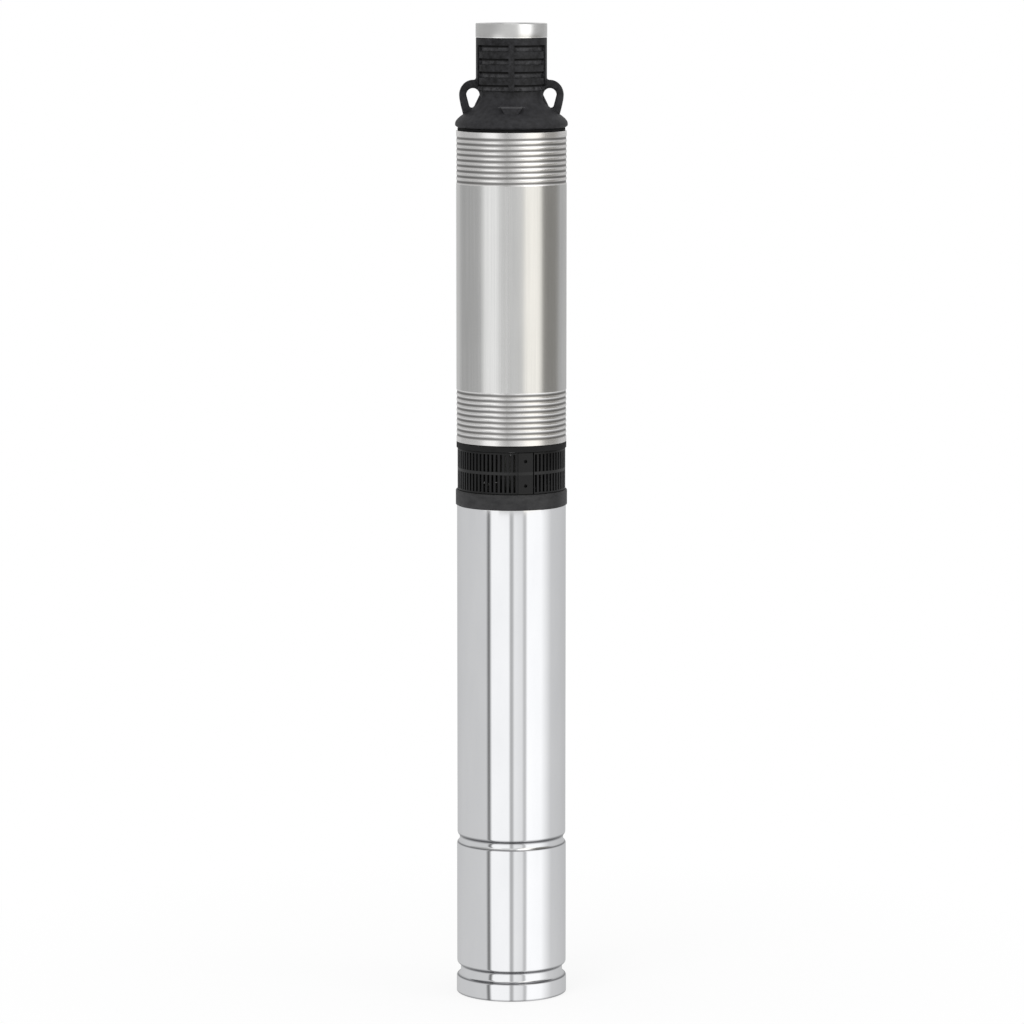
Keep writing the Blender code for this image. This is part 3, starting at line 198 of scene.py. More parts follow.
FLOOR_SIZE = 30.0
FLOOR_DROP = 0.0006
FLOOR_GLOW = 0.80
FLOOR_FADE = 0.60
FLOOR_COLOUR = (0.93, 0.93, 0.93, 1.0)
WHITE = (1.0, 1.0, 1.0, 1.0)
sheet = bmesh.new()
bmesh.ops.create_grid(sheet, x_segments=1, y_segments=1, size=FLOOR_SIZE)
floor_finish, tree = blank_material("pale_floor")
seen = tree.node("ShaderNodeLightPath", out="Is Camera Ray")
glow = tree.node("ShaderNodeEmission", inputs={"Color": WHITE, "Strength": 1.0})
matt = tree.node("ShaderNodeBsdfDiffuse", inputs={"Color": FLOOR_COLOUR})
spot = tree.node("ShaderNodeTexCoord", out="Object")
away = tree.node("ShaderNodeVectorMath", {"operation": "LENGTH"}, {0: spot}, out="Value")
fade = (away / FLOOR_FADE).math("MINIMUM", 1.0) * (1.0 - FLOOR_GLOW) + FLOOR_GLOW
mixed = tree.node("ShaderNodeMixShader", inputs={0: seen * fade, 1: matt, 2: glow})
tree.node("ShaderNodeOutputMaterial", inputs={"Surface": mixed})
floor = linked("floor", mesh_from("floor", sheet))
floor.data.materials.append(floor_finish)
floor.location = (0.0, 0.0, -FLOOR_DROP)
floor.visible_glossy = False

# The studio is even soft light from all round, with one broad lamp above the camera's left and
# a weaker one at its right. Camera, mirror and glass rays meet a white background instead.
SOFT_LIGHT = 0.80
LAMP_AIM = Vector((0.0, 0.0, 0.5))
world = bpy.data.worlds.new("studio")
bpy.context.scene.world = world
world.use_nodes = True
world.node_tree.nodes.clear()
tree = Tree(world.node_tree)
path = tree.node("ShaderNodeLightPath")
shows = path.output("Is Camera Ray").math("MAXIMUM", path.output("Is Glossy Ray"))
shows = shows.math("MAXIMUM", path.output("Is Transmission Ray"))
level = shows * (1.0 - SOFT_LIGHT) + SOFT_LIGHT
backdrop = tree.node("ShaderNodeBackground", inputs={"Color": WHITE, "Strength": level})
tree.node("ShaderNodeOutputWorld", inputs={"Surface": backdrop})


def lamp(name, place, width, power):
    light = bpy.data.lights.new(name, "AREA")
    light.size = width
    light.energy = power
    made = linked(name, light)
    made.location = place
    made.rotation_euler = (LAMP_AIM - Vector(place)).to_track_quat("-Z", "Y").to_euler()
    made.visible_glossy = False
    made.visible_camera = False


lamp("key_lamp", (-0.9, -1.6, 2.3), 1.2, 16.0)
lamp("side_lamp", (1.9, -0.9, 1.2), 0.8, 5.0)

# Grey and white cloth screens stand round the pump, out of the camera's sight, in four tiers.
# The bright steel shows them as the upright bands that run the length of each part. The dark
# foot tier hangs far below the floor, which no mirror ray meets.
SCREEN_RADIUS = 0.40
SCREEN_STEPS = 96
SCREEN_LOW = -8.00
FOOT_SPLIT = -0.75
SCREEN_SPLIT = 0.425
OUTLET_SPLIT = 0.800
SCREEN_HIGH = 2.20
OUTLET_BANDS = [
    (-180, 0.66), (-130, 0.57), (-60, 0.54), (-30, 0.74), (22, 0.80), (28, 1.90), (62, 1.90),
    (72, 0.60), (110, 0.50), (179, 0.75),
]
UPPER_BANDS = [
    (-180, 0.66), (-134, 0.66), (-122, 0.47), (-62, 0.50), (-56, 1.03), (-27, 1.08), (-23, 0.73),
    (22, 0.71), (27, 1.20), (60, 1.25), (65, 0.25), (104, 0.31), (114, 0.53), (179, 0.58),
]
LOWER_BANDS = [
    (-180, 0.38), (-160, 0.58), (-120, 0.67), (-52, 0.71), (-47.5, 0.22), (-44.5, 0.22),
    (-40, 1.12), (-5, 1.12), (-2, 0.52), (2, 0.52), (6, 0.98), (21, 0.90), (25, 0.62), (28, 0.62),
    (32, 1.22), (62, 1.18), (88, 0.70), (120, 0.64), (160, 0.55), (179, 0.38),
]
FOOT_BANDS = [(-180, 0.22), (0, 0.20), (179, 0.22)]
NEUTRAL = (1.0, 1.0, 1.0)
COOL = (0.985, 0.99, 1.0)
WARM = (1.0, 0.975, 0.92)
WARM_TURNS = (24, 110)


def mesh_of(name, verts, faces):
    mesh = bpy.data.meshes.new(name)
    mesh.from_pydata(verts, [], faces)
    return mesh


def turn_and_height(tree, spot):
    """A point's turn about the pump's axis, counted from the front, and its height."""
    parts = tree.node("ShaderNodeSeparateXYZ", inputs={0: spot})
    turn = parts.output("X").math("ARCTAN2", 0.0 - parts.output("Y"))
    return turn, parts.output("Z")


def screen(name, low, high, bands, left, right):
    """A cloth tier with (degrees, grey) bands. Its right side has a tint of its own."""
    verts, faces = [], []
    for step in range(SCREEN_STEPS):
        turn = 2 * math.pi * step / SCREEN_STEPS
        x, y = SCREEN_RADIUS * math.cos(turn), SCREEN_RADIUS * math.sin(turn)
        verts += [(x, y, low), (x, y, high)]
        after = (step + 1) % SCREEN_STEPS
        faces.append((2 * step, 2 * step + 1, 2 * after + 1, 2 * after))
    stops = []
    for degrees, grey in bands:
        tint = right if WARM_TURNS[0] < degrees < WARM_TURNS[1] else left
        stops.append((degrees / 360 + 0.5, [grey * share for share in tint]))
    finish, tree = blank_material(name)
    turn = turn_and_height(tree, tree.node("ShaderNodeTexCoord", out="Object"))[0]
    along = turn / (2 * math.pi) + 0.5
    colour = tree.node("ShaderNodeValToRGB", inputs={0: along}, stops=stops)
    glow = tree.node("ShaderNodeEmission", inputs={"Color": colour, "Strength": 1.0})
    tree.node("ShaderNodeOutputMaterial", inputs={"Surface": glow})
    made = linked(name, mesh_of(name, verts, faces))
    made.data.materials.append(finish)
    made.visible_camera = False
    made.visible_diffuse = False
    made.visible_shadow = False
    made.visible_transmission = False


screen("outlet_screen", OUTLET_SPLIT, SCREEN_HIGH, OUTLET_BANDS, NEUTRAL, NEUTRAL)
screen("upper_screen", SCREEN_SPLIT, OUTLET_SPLIT, UPPER_BANDS, NEUTRAL, WARM)
screen("lower_screen", FOOT_SPLIT, SCREEN_SPLIT, LOWER_BANDS, COOL, COOL)
screen("foot_screen", SCREEN_LOW, FOOT_SPLIT, FOOT_BANDS, NEUTRAL, NEUTRAL)

# The motor shell is a drawn stainless tube, polished bright. Two rolled grooves clinch it on
# the castings inside, and its foot is turned in over the bottom cap.
MOTOR_STEPS = 160
MOTOR_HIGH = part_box("motor_shell")[1]
MOTOR_RADIUS = 0.0476
CHAMBER_RADIUS = 0.0480
FOOT_RADIUS = MOTOR_HIGH.x
FOOT_ROUND = 0.0024
SHELL_WALL = 0.0012
SHELL_EDGE = 0.0004
# Each groove's middle height, width and depth.
UPPER_GROOVE = (0.1382, 0.0083, 0.0020)
LOWER_GROOVE = (0.0205, 0.0114, 0.0032)
GROOVE_SLOPE = 0.0022
GROOVE_SOFTNESS = 0.0016
# Painted dark lines, each as its distance from an edge, its reach and its strength. Along the
# grooves' edges they are painted dark reflection; at the foot the steel is only darker.
FOOT_DARK_LINE = (0.0, 0.0018, 0.90)
TOP_EDGE_DARK_REFLECTION = (-0.0010, 0.0024, 1.25)
LOW_EDGE_DARK_REFLECTION = (0.0004, 0.0010, 1.0)
DARK_LINE_TONE = (0.17, 0.17, 0.18)
POLISHED_TONES = ((0.76, 0.765, 0.775), (0.86, 0.86, 0.865))
DRAW_LINES = (2600.0, 9.0)
DRAW_DEPTH = 0.000003
WIPES = (40.0, 12.0, 4.0)
ARC_RADIUS = 0.048
# How metallic a finish is.
METAL = 1.0
PLASTIC = 0.0


def softened(outline, points=5):
    """The outline's (radius, height, round-off) corners, each rounded by its own size."""
    line = []
    for number, (radius, height, round_off) in enumerate(outline):
        here = Vector((radius, height))
        before = Vector(outline[number - 1][:2]) - here
        after = Vector(outline[(number + 1) % len(outline)][:2]) - here
        reach = min(round_off, before.length * 0.49, after.length * 0.49)
        if reach < 0.00002:
            line.append((radius, height))
            continue
        start = here + before.normalized() * reach
        end = here + after.normalized() * reach
        for step in range(points):
            share = step / (points - 1)
            point = start * (1 - share) ** 2 + here * 2 * share * (1 - share) + end * share**2
            line.append(tuple(point))
    return line


def turned(name, line, steps, on_axis=False):
    """A closed outline of (radius, height) turned about the pump's axis."""
    count = len(line)
    verts, faces = [], []
    for step in range(steps):
        turn = 2 * math.pi * step / steps
        verts += [(r * math.cos(turn), r * math.sin(turn), z) for r, z in line]
        here, there = step * count, (step + 1) % steps * count
        for number in range(count - 1 if on_axis else count):
            other = (number + 1) % count
            faces.append((here + number, here + other, there + other, there + number))
    return tidied(mesh_of(name, verts, faces))


def tidied(mesh, angle=32.0):
    """Doubles merged, faces turned outwards, and edges sharp where the surface folds."""
    shape = bmesh.new()
    shape.from_mesh(mesh)
    bmesh.ops.remove_doubles(shape, verts=shape.verts, dist=0.0000005)
    bmesh.ops.recalc_face_normals(shape, faces=shape.faces)
    shape.to_mesh(mesh)
    shape.free()
    mesh.shade_smooth()
    mesh.set_sharp_from_angle(angle=math.radians(angle))
    return mesh


def placed(name, mesh, finish, body, slot, *nodes):
    """A finished piece that rides on its body and stands for its solids."""
    mesh.materials.clear()
    mesh.materials.append(finish)
    made = linked(name, mesh)
    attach(made, body)
    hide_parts(*nodes)
    return made


def groove(above, below, spec):
    """A rolled groove between the radius above it and the one below it."""
    middle, width, depth = spec
    floor_radius = above - depth
    half = width / 2
    return [
        (above, middle + half, GROOVE_SOFTNESS),
        (floor_radius, middle + half - GROOVE_SLOPE, GROOVE_SOFTNESS),
        (floor_radius, middle - half + GROOVE_SLOPE, GROOVE_SOFTNESS),
        (below, middle - half, GROOVE_SOFTNESS),
    ]


def shell_line(inset):
    """One face of the shell's wall, from its top down to its turned-in foot."""
    upper, chamber, base = (r - inset for r in (MOTOR_RADIUS, CHAMBER_RADIUS, FOOT_RADIUS))
    line = [(upper, MOTOR_HIGH.z, SHELL_EDGE)]
    line += groove(upper, chamber, UPPER_GROOVE)
    return line + groove(chamber, base, LOWER_GROOVE)


def surface(name):
    """A material, its tree, its Object coordinates, the arc round the axis, and the height."""
    made, tree = blank_material(name)
    spot = tree.node("ShaderNodeTexCoord", out="Object")
    turn, z = turn_and_height(tree, spot)
    return made, tree, spot, turn * ARC_RADIUS, z


def noise(tree, vector, scale, detail=3.0, roughness=0.55):
    """A pattern by its scale, detail and roughness."""
    pattern = {"Vector": vector, "Scale": scale, "Detail": detail, "Roughness": roughness}
    return tree.node("ShaderNodeTexNoise", inputs=pattern)


def joined(tree, x, y, z):
    return tree.node("ShaderNodeCombineXYZ", inputs={0: x, 1: y, 2: z})


def streaks(tree, arc, z, around, along, detail=3.0, roughness=0.55):
    """Noise with one scale round the pump's axis and another along it."""
    return noise(tree, joined(tree, arc * around, 0.0, z * along), 1.0, detail, roughness)


def blended(tree, share, first, second):
    """Two colours mixed, each of them a wire or plain."""
    ends = [end if isinstance(end, Wire) else (*end, 1.0) for end in (first, second)]
    inputs = {0: share, 6: ends[0], 7: ends[1]}
    return tree.node("ShaderNodeMix", {"data_type": "RGBA"}, inputs, out=2)


def finished(tree, colour, roughness, metallic, height, depth, **fixed):
    """The Principled shader at a material's end, with its relief and its fixed values."""
    relief = {"Strength": 1.0, "Distance": depth, "Height": height}
    inputs = {
        "Base Color": colour,
        "Roughness": roughness,
        "Metallic": metallic,
        "Normal": tree.node("ShaderNodeBump", inputs=relief),
    }
    inputs.update({key.replace("_", " "): value for key, value in fixed.items()})
    shader = tree.node("ShaderNodeBsdfPrincipled", inputs=inputs)
    tree.node("ShaderNodeOutputMaterial", inputs={"Surface": shader})


foot_line = [(FOOT_RADIUS, 0.0, FOOT_ROUND), (FOOT_RADIUS - SHELL_WALL, 0.0, 0.0)]
shell_outline = shell_line(0.0) + foot_line + shell_line(SHELL_WALL)[::-1]
dark_lines = [FOOT_DARK_LINE]
for middle, width, _ in (UPPER_GROOVE, LOWER_GROOVE):
    for side, (offset, reach, weight) in ((0.5, TOP_EDGE_DARK_REFLECTION), (-0.5, LOW_EDGE_DARK_REFLECTION)):
        dark_lines.append((middle + width * side + offset, reach, weight))

polished_steel, tree, spot, arc, z = surface("polished_steel")
draw_lines = streaks(tree, arc, z, *DRAW_LINES)
wipes = streaks(tree, arc, z, *WIPES)
bright = blended(tree, wipes, *POLISHED_TONES)
# Painted dark reflection along the grooves' edges, and a darker line at the foot.
dark_line_mask = 0.0
for height, reach, weight in dark_lines:
    dark_line_mask = dark_line_mask + (1.0 - (z - height).math("ABSOLUTE") / reach).math("MAXIMUM", 0.0) * weight
dark_line_mask = dark_line_mask.math("MINIMUM", 1.0)
tone = blended(tree, dark_line_mask, bright, DARK_LINE_TONE)
dull = 0.045 + wipes * 0.03 + draw_lines * 0.02 + dark_line_mask * 0.12
finished(tree, tone, dull, METAL, draw_lines, DRAW_DEPTH)
shell = turned("motor_shell_polished", softened(shell_outline, 6), MOTOR_STEPS)
placed("motor_shell_polished", shell, polished_steel, "pump_body", "polished_steel", "motor_shell")

# The pump shell is a brushed stainless tube, rolled and welded up its length. Rings of thread
# are rolled into both its ends, where it is screwed on the bracket below and the head above.
# Over the rings a dark reflection is painted in a broad band along the weld.
PUMP_STEPS = 160
PUMP_LOW, PUMP_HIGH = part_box("pump_shell")
PUMP_RADIUS = PUMP_HIGH.x
PUMP_WALL = 0.0015
PUMP_EDGE = 0.0003
RING_PITCH = 0.0047
RING_DEPTH = 0.0006
RING_COUNT = 9
RING_BAND = 0.0062
RING_ROWS = 12
SEAM_ARC = -0.0040
SEAM_WIDTH = 0.0011
SEAM_REFLECTION_WIDTH = 0.0105
VALLEY_FROM = 0.22
VALLEY_BLEND = 0.66
BRUSHED_TONES = ((0.63, 0.63, 0.625), (0.78, 0.78, 0.77))
RIDGE_HIGHLIGHT_TONE = (0.90, 0.89, 0.88)
SEAM_REFLECTION_TONE = (0.34, 0.335, 0.33)
VALLEY_SHADE_TONE = (0.26, 0.255, 0.25)
BRUSHING = (30.0, 5200.0, 2.0)
BRUSH_DEPTH = 0.000004
PATCHES = (30.0, 14.0, 4.0)
DRAWN_STREAKS = (900.0, 5.0, 3.0)
FOLD_ANGLE = 40.0


def shape_tree(name, kinds):
    """An empty tree that takes a shape, one input of each named kind, and a finish."""
    group = bpy.data.node_groups.new(name, "GeometryNodeTree")
    kinds = {"Geometry": "Geometry", **kinds, "Finish": "Material"}
    for label, kind in kinds.items():
        group.interface.new_socket(label, in_out="INPUT", socket_type="NodeSocket" + kind)
    group.interface.new_socket("Geometry", in_out="OUTPUT", socket_type="NodeSocketGeometry")
    maker = Tree(group)
    given = maker.node("NodeGroupInput")
    return maker, [given.output(label) for label in kinds]


def ended(maker, shape, finish):
    """Every tree ends in real geometry with its material."""
    real = maker.node("GeometryNodeRealizeInstances", inputs={0: shape})
    dressed = maker.node("GeometryNodeSetMaterial", inputs={"Geometry": real, "Material": finish})
    maker.node("NodeGroupOutput", inputs={0: dressed})
    return maker.tree


def wave_of(phase):
    """From 0 on a crest to 1 in a valley, once in each whole phase."""
    return (1.0 - (phase * (2 * math.pi)).math("COSINE")) * 0.5


def ripple_tree(name):
    """Presses rings, or a thread where Lead is 1, into one side of a turned wall."""
    labels = ("Pitch", "Depth", "Start", "End", "Lead", "Wall middle", "Side")
    maker, given = shape_tree(name, dict.fromkeys(labels, "Float"))
    shape, pitch, depth, start, end, lead, middle, side, finish = given
    parts = maker.node("ShaderNodeSeparateXYZ", inputs={0: maker.node("GeometryNodeInputPosition")})
    x, y, z = (parts.output(axis) for axis in "XYZ")
    radius = (x * x + y * y).math("SQRT")
    turns = y.math("ARCTAN2", x) / (2 * math.pi)
    wave = wave_of((z - start) / pitch + turns * lead)
    on_wall = ((radius - middle) * side > 0.0) * (z > start) * (z < end)
    push = wave * depth * on_wall * side * -1.0
    move = joined(maker, x / radius * push, y / radius * push, 0.0)
    moved = maker.node("GeometryNodeSetPosition", inputs={"Geometry": shape, "Offset": move})
    return ended(maker, moved, finish)


def grown(mesh, tree, values, finish):
    """The mesh as the tree leaves it, with the tree's inputs set by name."""
    made = linked(mesh.name + "_grown", mesh)
    change = made.modifiers.new("Grow", "NODES")
    change.node_group = tree
    values = {**values, "Finish": finish}
    for item in tree.interface.items_tree:
        if item.in_out == "INPUT" and item.name in values:
            change[item.identifier] = values[item.name]
    return taken(made)


def taken(made):
    """The evaluated mesh of a working object, which is then removed."""
    graph = bpy.context.evaluated_depsgraph_get()
    mesh = bpy.data.meshes.new_from_object(made.evaluated_get(graph))
    bpy.data.objects.remove(made)
    return mesh


ripples = ripple_tree("rolled_rings")
ring_span = RING_COUNT * RING_PITCH
ring_starts = (
    PUMP_LOW.z + RING_BAND - RING_PITCH / 2,
    PUMP_HIGH.z - RING_BAND - ring_span + RING_PITCH / 2,
)
low_start, top_start = ring_starts
tube_line = [(PUMP_RADIUS, PUMP_HIGH.z - PUMP_EDGE), (PUMP_RADIUS - PUMP_EDGE, PUMP_HIGH.z)]
tube_line += [(PUMP_RADIUS - PUMP_WALL, PUMP_HIGH.z), (PUMP_RADIUS - PUMP_WALL, PUMP_LOW.z)]
tube_line += [(PUMP_RADIUS - PUMP_EDGE, PUMP_LOW.z), (PUMP_RADIUS, PUMP_LOW.z + PUMP_EDGE)]
rows = RING_COUNT * RING_ROWS
for start in ring_starts:
    tube_line += [(PUMP_RADIUS, start + ring_span * row / rows) for row in range(rows + 1)]

brushed_steel, tree, spot, arc, z = surface("brushed_steel")
brushing = streaks(tree, arc, z, *BRUSHING)
patches = streaks(tree, arc, z, *PATCHES)
drawn = streaks(tree, arc, z, *DRAWN_STREAKS)
ring_turns = 0.0
for start in ring_starts:
    phase = (z - start) / RING_PITCH
    ring_turns = ring_turns + wave_of(phase) * (phase > 0.0) * (phase < RING_COUNT)
valley = ((ring_turns - VALLEY_FROM) / VALLEY_BLEND).clamped()
rings = (z < low_start + ring_span).math("MAXIMUM", z > top_start)
from_seam = (arc - SEAM_ARC).math("ABSOLUTE")
seam = from_seam < SEAM_WIDTH
# Painted dark reflection in a broad band along the weld, over the rings only.
seam_reflection = (1.0 - from_seam / SEAM_REFLECTION_WIDTH).math("MAXIMUM", 0.0) * rings
wear_and_highlight = (patches * 0.35 + brushing * 0.15 + drawn * 0.5 - 0.5) * 1.8 + 0.5
bright = blended(tree, wear_and_highlight.clamped(), *BRUSHED_TONES)
# Painted highlight: the ring zones are lighter than the plain tube.
highlighted_ridges = blended(tree, rings, bright, RIDGE_HIGHLIGHT_TONE)
with_seam_reflection = blended(tree, seam_reflection * 0.62, highlighted_ridges, SEAM_REFLECTION_TONE)
# Painted shade in the rings' valleys.
tone = blended(tree, valley, with_seam_reflection, VALLEY_SHADE_TONE)
dull = 0.17 + brushing * 0.05 + patches * 0.03 + seam * 0.08 + rings * 0.06 + valley * 0.12
finished(tree, tone, dull, METAL, brushing + seam * 2.0, BRUSH_DEPTH, Anisotropic=0.5)
tube = turned("pump_shell_tube", tube_line, PUMP_STEPS)
ring_values = {
    "Pitch": RING_PITCH, "Depth": RING_DEPTH, "Lead": 0.0,
    "Wall middle": PUMP_RADIUS - PUMP_WALL / 2, "Side": 1.0,
}
for start in ring_starts:
    ring_values.update({"Start": start, "End": start + ring_span})
    tube = grown(tube, ripples, ring_values, brushed_steel)
tidied(tube, FOLD_ANGLE)
placed("pump_shell_brushed", tube, brushed_steel, "pump_body", "brushed_steel", "pump_shell")

# The discharge head is one black moulding: a spigot inside the shell, a flared skirt, a ribbed
# neck held by four webs, and two rope eyes that grow out of the skirt at the sides. A raised
# boss at the front has a painted highlight along its upper edge.
HEAD_STEPS = 144
HEAD_LOW, HEAD_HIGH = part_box("discharge_head")
HEAD_EDGE = 0.0005
SKIRT_FOOT = 0.7632
SKIRT_RADIUS = 0.0489
SKIRT_BEVEL = 0.0017
SKIRT_LIP = 0.0017
SKIRT_UNDERCUT = 0.0022
FLARE_HEIGHT = 0.0247
FLARE_SHAPE = 1.25
FLARE_POINTS = 28
FLARE_TOP = SKIRT_FOOT + SKIRT_BEVEL + SKIRT_LIP + FLARE_HEIGHT
GASKET_SEAT = 0.0446
GASKET_SPACE = 0.0026
SPIGOT_RADIUS = 0.0462
SPIGOT_DROP = 0.0029
SPIGOT_BORE = 0.0410
DOME_RADIUS = 0.0390
DOME_FOOT = 0.7662
DOME_ROUND = 0.0020
BORE_RADIUS = 0.0229
SOCKET_RADIUS = 0.0256
SOCKET_FLOOR = 0.8223
NECK_RADIUS = 0.0308
NECK_TOP = HEAD_HIGH.z
TOP_BAND = 0.0060
RECESS_DEPTH = 0.0032
RECESS_RADIUS = NECK_RADIUS - RECESS_DEPTH
RECESS_COUNT = 4
RECESS_HEIGHT = 0.0056
RECESS_PITCH = 0.0113
RECESS_ROUND = 0.0006
NECK_FOOT = NECK_TOP - TOP_BAND - (RECESS_COUNT - 1) * RECESS_PITCH - RECESS_HEIGHT
FRONT_WEB = 0.0051
SIDE_WEB = 0.0190
SIDE_CHANNEL = 0.0042
FRONT_BACK = (math.pi / 2, -math.pi / 2)
SIDES = (0.0, math.pi)
WEB_LOW = 0.75
WEB_HIGH = 0.86

head_line = [(NECK_RADIUS, NECK_TOP, HEAD_EDGE), (NECK_RADIUS, NECK_FOOT, HEAD_EDGE)]
head_line.append((RECESS_RADIUS, NECK_FOOT, HEAD_EDGE))
for step in range(FLARE_POINTS + 1):
    along = step / FLARE_POINTS
    share = (1 - math.cos(math.pi * along**FLARE_SHAPE)) / 2
    radius = RECESS_RADIUS + (SKIRT_RADIUS - RECESS_RADIUS) * share
    head_line.append((radius, FLARE_TOP - FLARE_HEIGHT * along, 0.0))
head_line += [
    (SKIRT_RADIUS, SKIRT_FOOT + SKIRT_BEVEL, HEAD_EDGE),
    (SKIRT_RADIUS - SKIRT_UNDERCUT, SKIRT_FOOT, HEAD_EDGE),
    (GASKET_SEAT, SKIRT_FOOT, 0.0),
    (GASKET_SEAT, SKIRT_FOOT - GASKET_SPACE, 0.0),
    (SPIGOT_RADIUS, SKIRT_FOOT - SPIGOT_DROP, 0.0),
    (SPIGOT_RADIUS, HEAD_LOW.z, HEAD_EDGE),
    (SPIGOT_BORE, HEAD_LOW.z, HEAD_EDGE),
    (SPIGOT_BORE, DOME_FOOT, 0.0),
    (DOME_RADIUS, DOME_FOOT, HEAD_EDGE),
    (BORE_RADIUS, FLARE_TOP, DOME_ROUND),
    (BORE_RADIUS, SOCKET_FLOOR, 0.0),
    (SOCKET_RADIUS, SOCKET_FLOOR, 0.0),
    (SOCKET_RADIUS, NECK_TOP, HEAD_EDGE),
]


def box_round(angles, start, end, width, low, high):
    """Boxes that run outwards along each angle, as one mesh."""
    shape = bmesh.new()
    size = Matrix.Diagonal((end - start, width, high - low, 1.0))
    middle = Matrix.Translation(((start + end) / 2, 0.0, (low + high) / 2))
    for angle in angles:
        place = Matrix.Rotation(angle, 4, "Z") @ middle @ size
        bmesh.ops.create_cube(shape, size=1.0, matrix=place)
    return mesh_from("boxes", shape)


def shaped(mesh, *changes):
    """The mesh after each (operation, other mesh) Boolean in turn."""
    made = linked("work", mesh)
    helpers = []
    for operation, other in changes:
        helper = linked("helper", other)
        helpers.append(helper)
        change = made.modifiers.new("Boolean", "BOOLEAN")
        change.operation = operation
        change.object = helper
        change.solver = "MANIFOLD"
    result = taken(made)
    for helper in helpers:
        bpy.data.objects.remove(helper)
    return result


def repeat_tree(name):
    """Stands copies of a shape in a row."""
    maker, (shape, count, step, finish) = shape_tree(name, {"Count": "Int", "Step": "Vector"})
    row = maker.node("GeometryNodeMeshLine", inputs={"Count": count, "Offset": step})
    copies = maker.node("GeometryNodeInstanceOnPoints", inputs={"Points": row, "Instance": shape})
    return ended(maker, copies, finish)


reach = NECK_RADIUS + RECESS_DEPTH
first_top = NECK_TOP - TOP_BAND
band_line = [
    (reach, first_top, 0.0),
    (reach, first_top - RECESS_HEIGHT, 0.0),
    (RECESS_RADIUS, first_top - RECESS_HEIGHT, RECESS_ROUND),
    (RECESS_RADIUS, first_top, RECESS_ROUND),
]
ring_band = turned("recess_band", softened(band_line), HEAD_STEPS)
front_webs = ("DIFFERENCE", box_round(FRONT_BACK, 0.0, 2 * reach, FRONT_WEB, WEB_LOW, WEB_HIGH))
side_webs = ("DIFFERENCE", box_round(SIDES, 0.0, 2 * reach, SIDE_WEB, WEB_LOW, WEB_HIGH))
band = shaped(ring_band, front_webs, side_webs)
lowest_band = shaped(ring_band, front_webs)
lowest_band.transform(Matrix.Translation((0.0, 0.0, -(RECESS_COUNT - 1) * RECESS_PITCH)))
channel_turn = math.asin((SIDE_WEB + SIDE_CHANNEL) / 2 / NECK_RADIUS)
channel_turns = [side + way * channel_turn for side in SIDES for way in (1, -1)]
channels = box_round(channel_turns, RECESS_RADIUS, reach, SIDE_CHANNEL, NECK_FOOT, first_top)

EYE_THICKNESS = 0.0090
EYE_WIDTH = 0.0115
EYE_TOP = 0.0059
EYE_POINT = 0.0111
EYE_FOOT = 0.0024
EYE_LEAN = 0.0010
EYE_LEVEL = SKIRT_FOOT + 0.0281
EYE_RING = 0.0062
EYE_CROWN = 0.0070
EYE_POINTS = 20
EYE_EDGE = 0.0011
EYE_ROOT = 0.0015
EYE_SPREAD = 0.0008
# Points down the eye's outer side, and round the hollow where its crown meets the neck.
EYE_SIDE = ((-0.0003, -0.0035), (-0.0014, -0.0090))
EYE_HOLLOW = ((0.0, 0.0018), (0.0005, 0.0006), (0.0018, 0.0))


def rope_eye():
    """The rope eye's rounded ring and drop-shaped hole, in x and height."""
    middle = RECESS_RADIUS + EYE_WIDTH / 2
    half = EYE_WIDTH / 2
    hole = []
    for step in range(EYE_POINTS):
        turn = math.pi * step / (EYE_POINTS - 1)
        hole.append((middle + half * math.cos(turn), EYE_LEVEL + EYE_TOP * math.sin(turn)))
    for step in range(1, EYE_POINTS - 1):
        turn = -math.pi * (1 - step / (EYE_POINTS - 1))
        across = middle + EYE_LEAN + EYE_FOOT * math.cos(turn)
        hole.append((across, EYE_LEVEL - EYE_POINT + EYE_FOOT * (1 + math.sin(turn))))
    outer = []
    for step in range(EYE_POINTS):
        turn = math.pi / 2 * step / (EYE_POINTS - 1)
        across = middle + (half + EYE_RING) * math.sin(turn)
        outer.append((across, EYE_LEVEL + (EYE_TOP + EYE_CROWN) * math.cos(turn)))
    foot = SKIRT_FOOT + SKIRT_BEVEL + SKIRT_LIP * 2
    core = RECESS_RADIUS - EYE_ROOT
    edge = middle + half + EYE_RING
    crown = EYE_LEVEL + EYE_TOP + EYE_CROWN
    outer += [(edge + across, EYE_LEVEL + up) for across, up in EYE_SIDE]
    outer += [(middle + EYE_RING + EYE_SPREAD, foot), (core, foot)]
    outer.append((core, crown + EYE_HOLLOW[0][1]))
    outer += [(NECK_RADIUS + across, crown + up) for across, up in EYE_HOLLOW]
    return [outer, hole]


def plate(loops, thickness, edge):
    """Flat loops in x and height, filled, thickened about y = 0 and rounded at their edges."""
    flat = bpy.data.curves.new("plate", "CURVE")
    flat.dimensions = "2D"
    flat.fill_mode = "BOTH"
    flat.extrude = thickness / 2 - edge
    flat.bevel_depth = edge
    flat.bevel_resolution = 2
    flat.offset = -edge
    for loop in loops:
        spline = flat.splines.new("POLY")
        spline.points.add(len(loop) - 1)
        spline.use_cyclic_u = True
        for point, (x, y) in zip(spline.points, loop):
            point.co = (x, y, 0.0, 1.0)
    mesh = taken(linked("plate", flat))
    mesh.transform(Matrix.Rotation(math.pi / 2, 4, "X"))
    return tidied(mesh)


